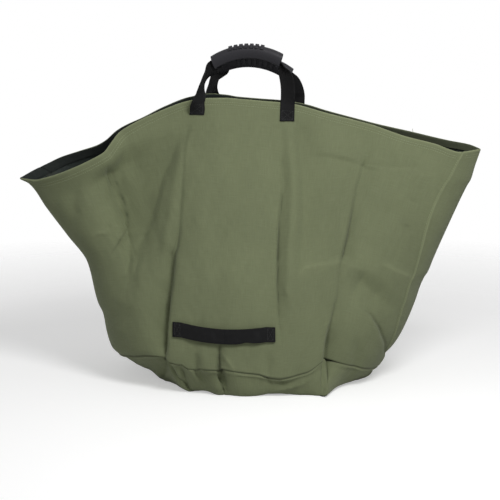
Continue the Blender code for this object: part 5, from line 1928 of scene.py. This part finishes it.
class GripLook(PropertyGroup):
    """The moulded rubber grips"""

    rubber_colour: FloatVectorProperty(
        name="Rubber", description="Colour of the rubber", default=(0.02, 0.0195, 0.023), subtype="COLOR",
        min=0, max=1)
    rib_pitch: FloatProperty(
        name="Rib pitch", description="Distance from one rib to the next", default=0.0090, unit="LENGTH")
    rib_height: FloatProperty(
        name="Rib height", description="How far the ribs stand up", default=0.0029, unit="LENGTH")
    rib_flank: FloatProperty(
        name="Rib flank", description="How wide the slope at a rib's edge is",
        default=0.0005, unit="LENGTH")
    wall: FloatProperty(
        name="Wall", description="Thickness of the rubber round the hollow ends",
        default=0.0014, unit="LENGTH")
    end_depth: FloatProperty(
        name="End hollow", description="Depth of the hollow in each end", default=0.006, unit="LENGTH")
    rib_count: IntProperty(
        name="Ribs", description="Number of ribs", default=7, subtype="UNSIGNED")
    rubber_grain: FloatProperty(
        name="Grain", description="Depth of the moulded grain", default=0.00008, unit="LENGTH")


class SewingLook(PropertyGroup):
    """The stitching"""

    thread_colour: FloatVectorProperty(
        name="Thread", description="Colour of the olive thread", default=(0.22, 0.25, 0.13),
        subtype="COLOR", min=0, max=1)
    black_thread_colour: FloatVectorProperty(
        name="Black thread", description="Colour of the thread on the webbing",
        default=(0.0115, 0.0115, 0.012), subtype="COLOR", min=0, max=1)
    seam_row: FloatProperty(
        name="Seam row", description="Distance of the side seams' stitching from the edge",
        default=0.003, unit="LENGTH")
    end_row: FloatProperty(
        name="End row", description="Length of the sewn ends of the pull strap",
        default=0.0118, unit="LENGTH")
    back_tuft: FloatProperty(
        name="Back loose thread", description="Place across the mouth of a loose thread",
        default=0.292, unit="LENGTH")
    front_tuft: FloatProperty(
        name="Front loose thread", description="Place across the mouth of a loose thread",
        default=0.296, unit="LENGTH")
    stitch_length: FloatProperty(
        name="Stitch length", description="Length of one stitch", default=0.0042, unit="LENGTH")
    thread: FloatProperty(
        name="Thread thickness", description="Thickness of the thread", default=0.0007, unit="LENGTH")
    upper_row: FloatProperty(
        name="Upper row", description="Depth of the hem's upper stitching", default=0.0066, unit="LENGTH")
    lower_row: FloatProperty(
        name="Lower row", description="Depth of the hem's lower stitching", default=0.0108, unit="LENGTH")


class StageLook(PropertyGroup):
    """The floor, the lights and the camera"""

    floor_colour: FloatVectorProperty(
        name="Floor", description="Colour of the floor", default=(0.8, 0.8, 0.8), subtype="COLOR",
        min=0, max=1)
    floor_glow: FloatProperty(
        name="Floor glow", description="How much whiter the camera sees the floor than it is",
        default=0.42, subtype="FACTOR")
    floor_radius: FloatProperty(
        name="Floor radius", description="Radius of the floor", default=1.6, unit="LENGTH")
    world_strength: FloatProperty(
        name="Surroundings", description="Strength of the light from all round", default=0.26,
        subtype="FACTOR")
    key_power: FloatProperty(
        name="Key light", description="Power of the light at the front right", default=13.2, unit="POWER")
    fill_power: FloatProperty(
        name="Fill light", description="Power of the light at the front left", default=4.0, unit="POWER")
    camera_distance: FloatProperty(
        name="Camera distance", description="From the camera to the bag's middle",
        default=3.0, unit="LENGTH")
    camera_elevation: FloatProperty(
        name="Camera elevation", description="How far the camera looks down",
        default=math.radians(10), unit="ROTATION")
    camera_height: FloatProperty(
        name="Aim height", description="Height of the point that the camera looks at",
        default=0.2224, unit="LENGTH")
    camera_lens: FloatProperty(
        name="Lens", description="Focal length in millimetres", default=120.0, unit="CAMERA")


class LEAFBAG_PT_panel(Panel):
    """Lists the bag's pieces in the order in which they are made"""

    bl_idname = "LEAFBAG_PT_panel"
    bl_label = "Leaf bag"
    bl_space_type = "VIEW_3D"
    bl_region_type = "UI"
    bl_category = "Leaf bag"

    def draw(self, context):
        for operator in OPERATORS:
            self.layout.operator(operator.bl_idname)
        for name, look in LOOKS.items():
            box = self.layout.box()
            group = getattr(context.scene, name)
            for field in look.__annotations__:
                box.prop(group, field)


OPERATORS = (
    LEAFBAG_OT_stage,
    LEAFBAG_OT_walls,
    LEAFBAG_OT_base,
    LEAFBAG_OT_inside_trim,
    LEAFBAG_OT_handle_straps,
    LEAFBAG_OT_grips,
    LEAFBAG_OT_pull_strap,
    LEAFBAG_OT_sewing,
)
LOOKS = {
    "leafbag_cloth": ClothLook,
    "leafbag_straps": StrapLook,
    "leafbag_grips": GripLook,
    "leafbag_sewing": SewingLook,
    "leafbag_stage": StageLook,
}


def register():
    for made in (*LOOKS.values(), *OPERATORS, LEAFBAG_PT_panel):
        bpy.utils.register_class(made)
    for name, look in LOOKS.items():
        setattr(bpy.types.Scene, name, PointerProperty(type=look))


def unregister():
    for name in LOOKS:
        delattr(bpy.types.Scene, name)
    for made in reversed((*LOOKS.values(), *OPERATORS, LEAFBAG_PT_panel)):
        bpy.utils.unregister_class(made)


def main():
    register()
    for operator in OPERATORS:
        group, name = operator.bl_idname.split(".")
        getattr(getattr(bpy.ops, group), name)()


if __name__ == "__main__":
    main()
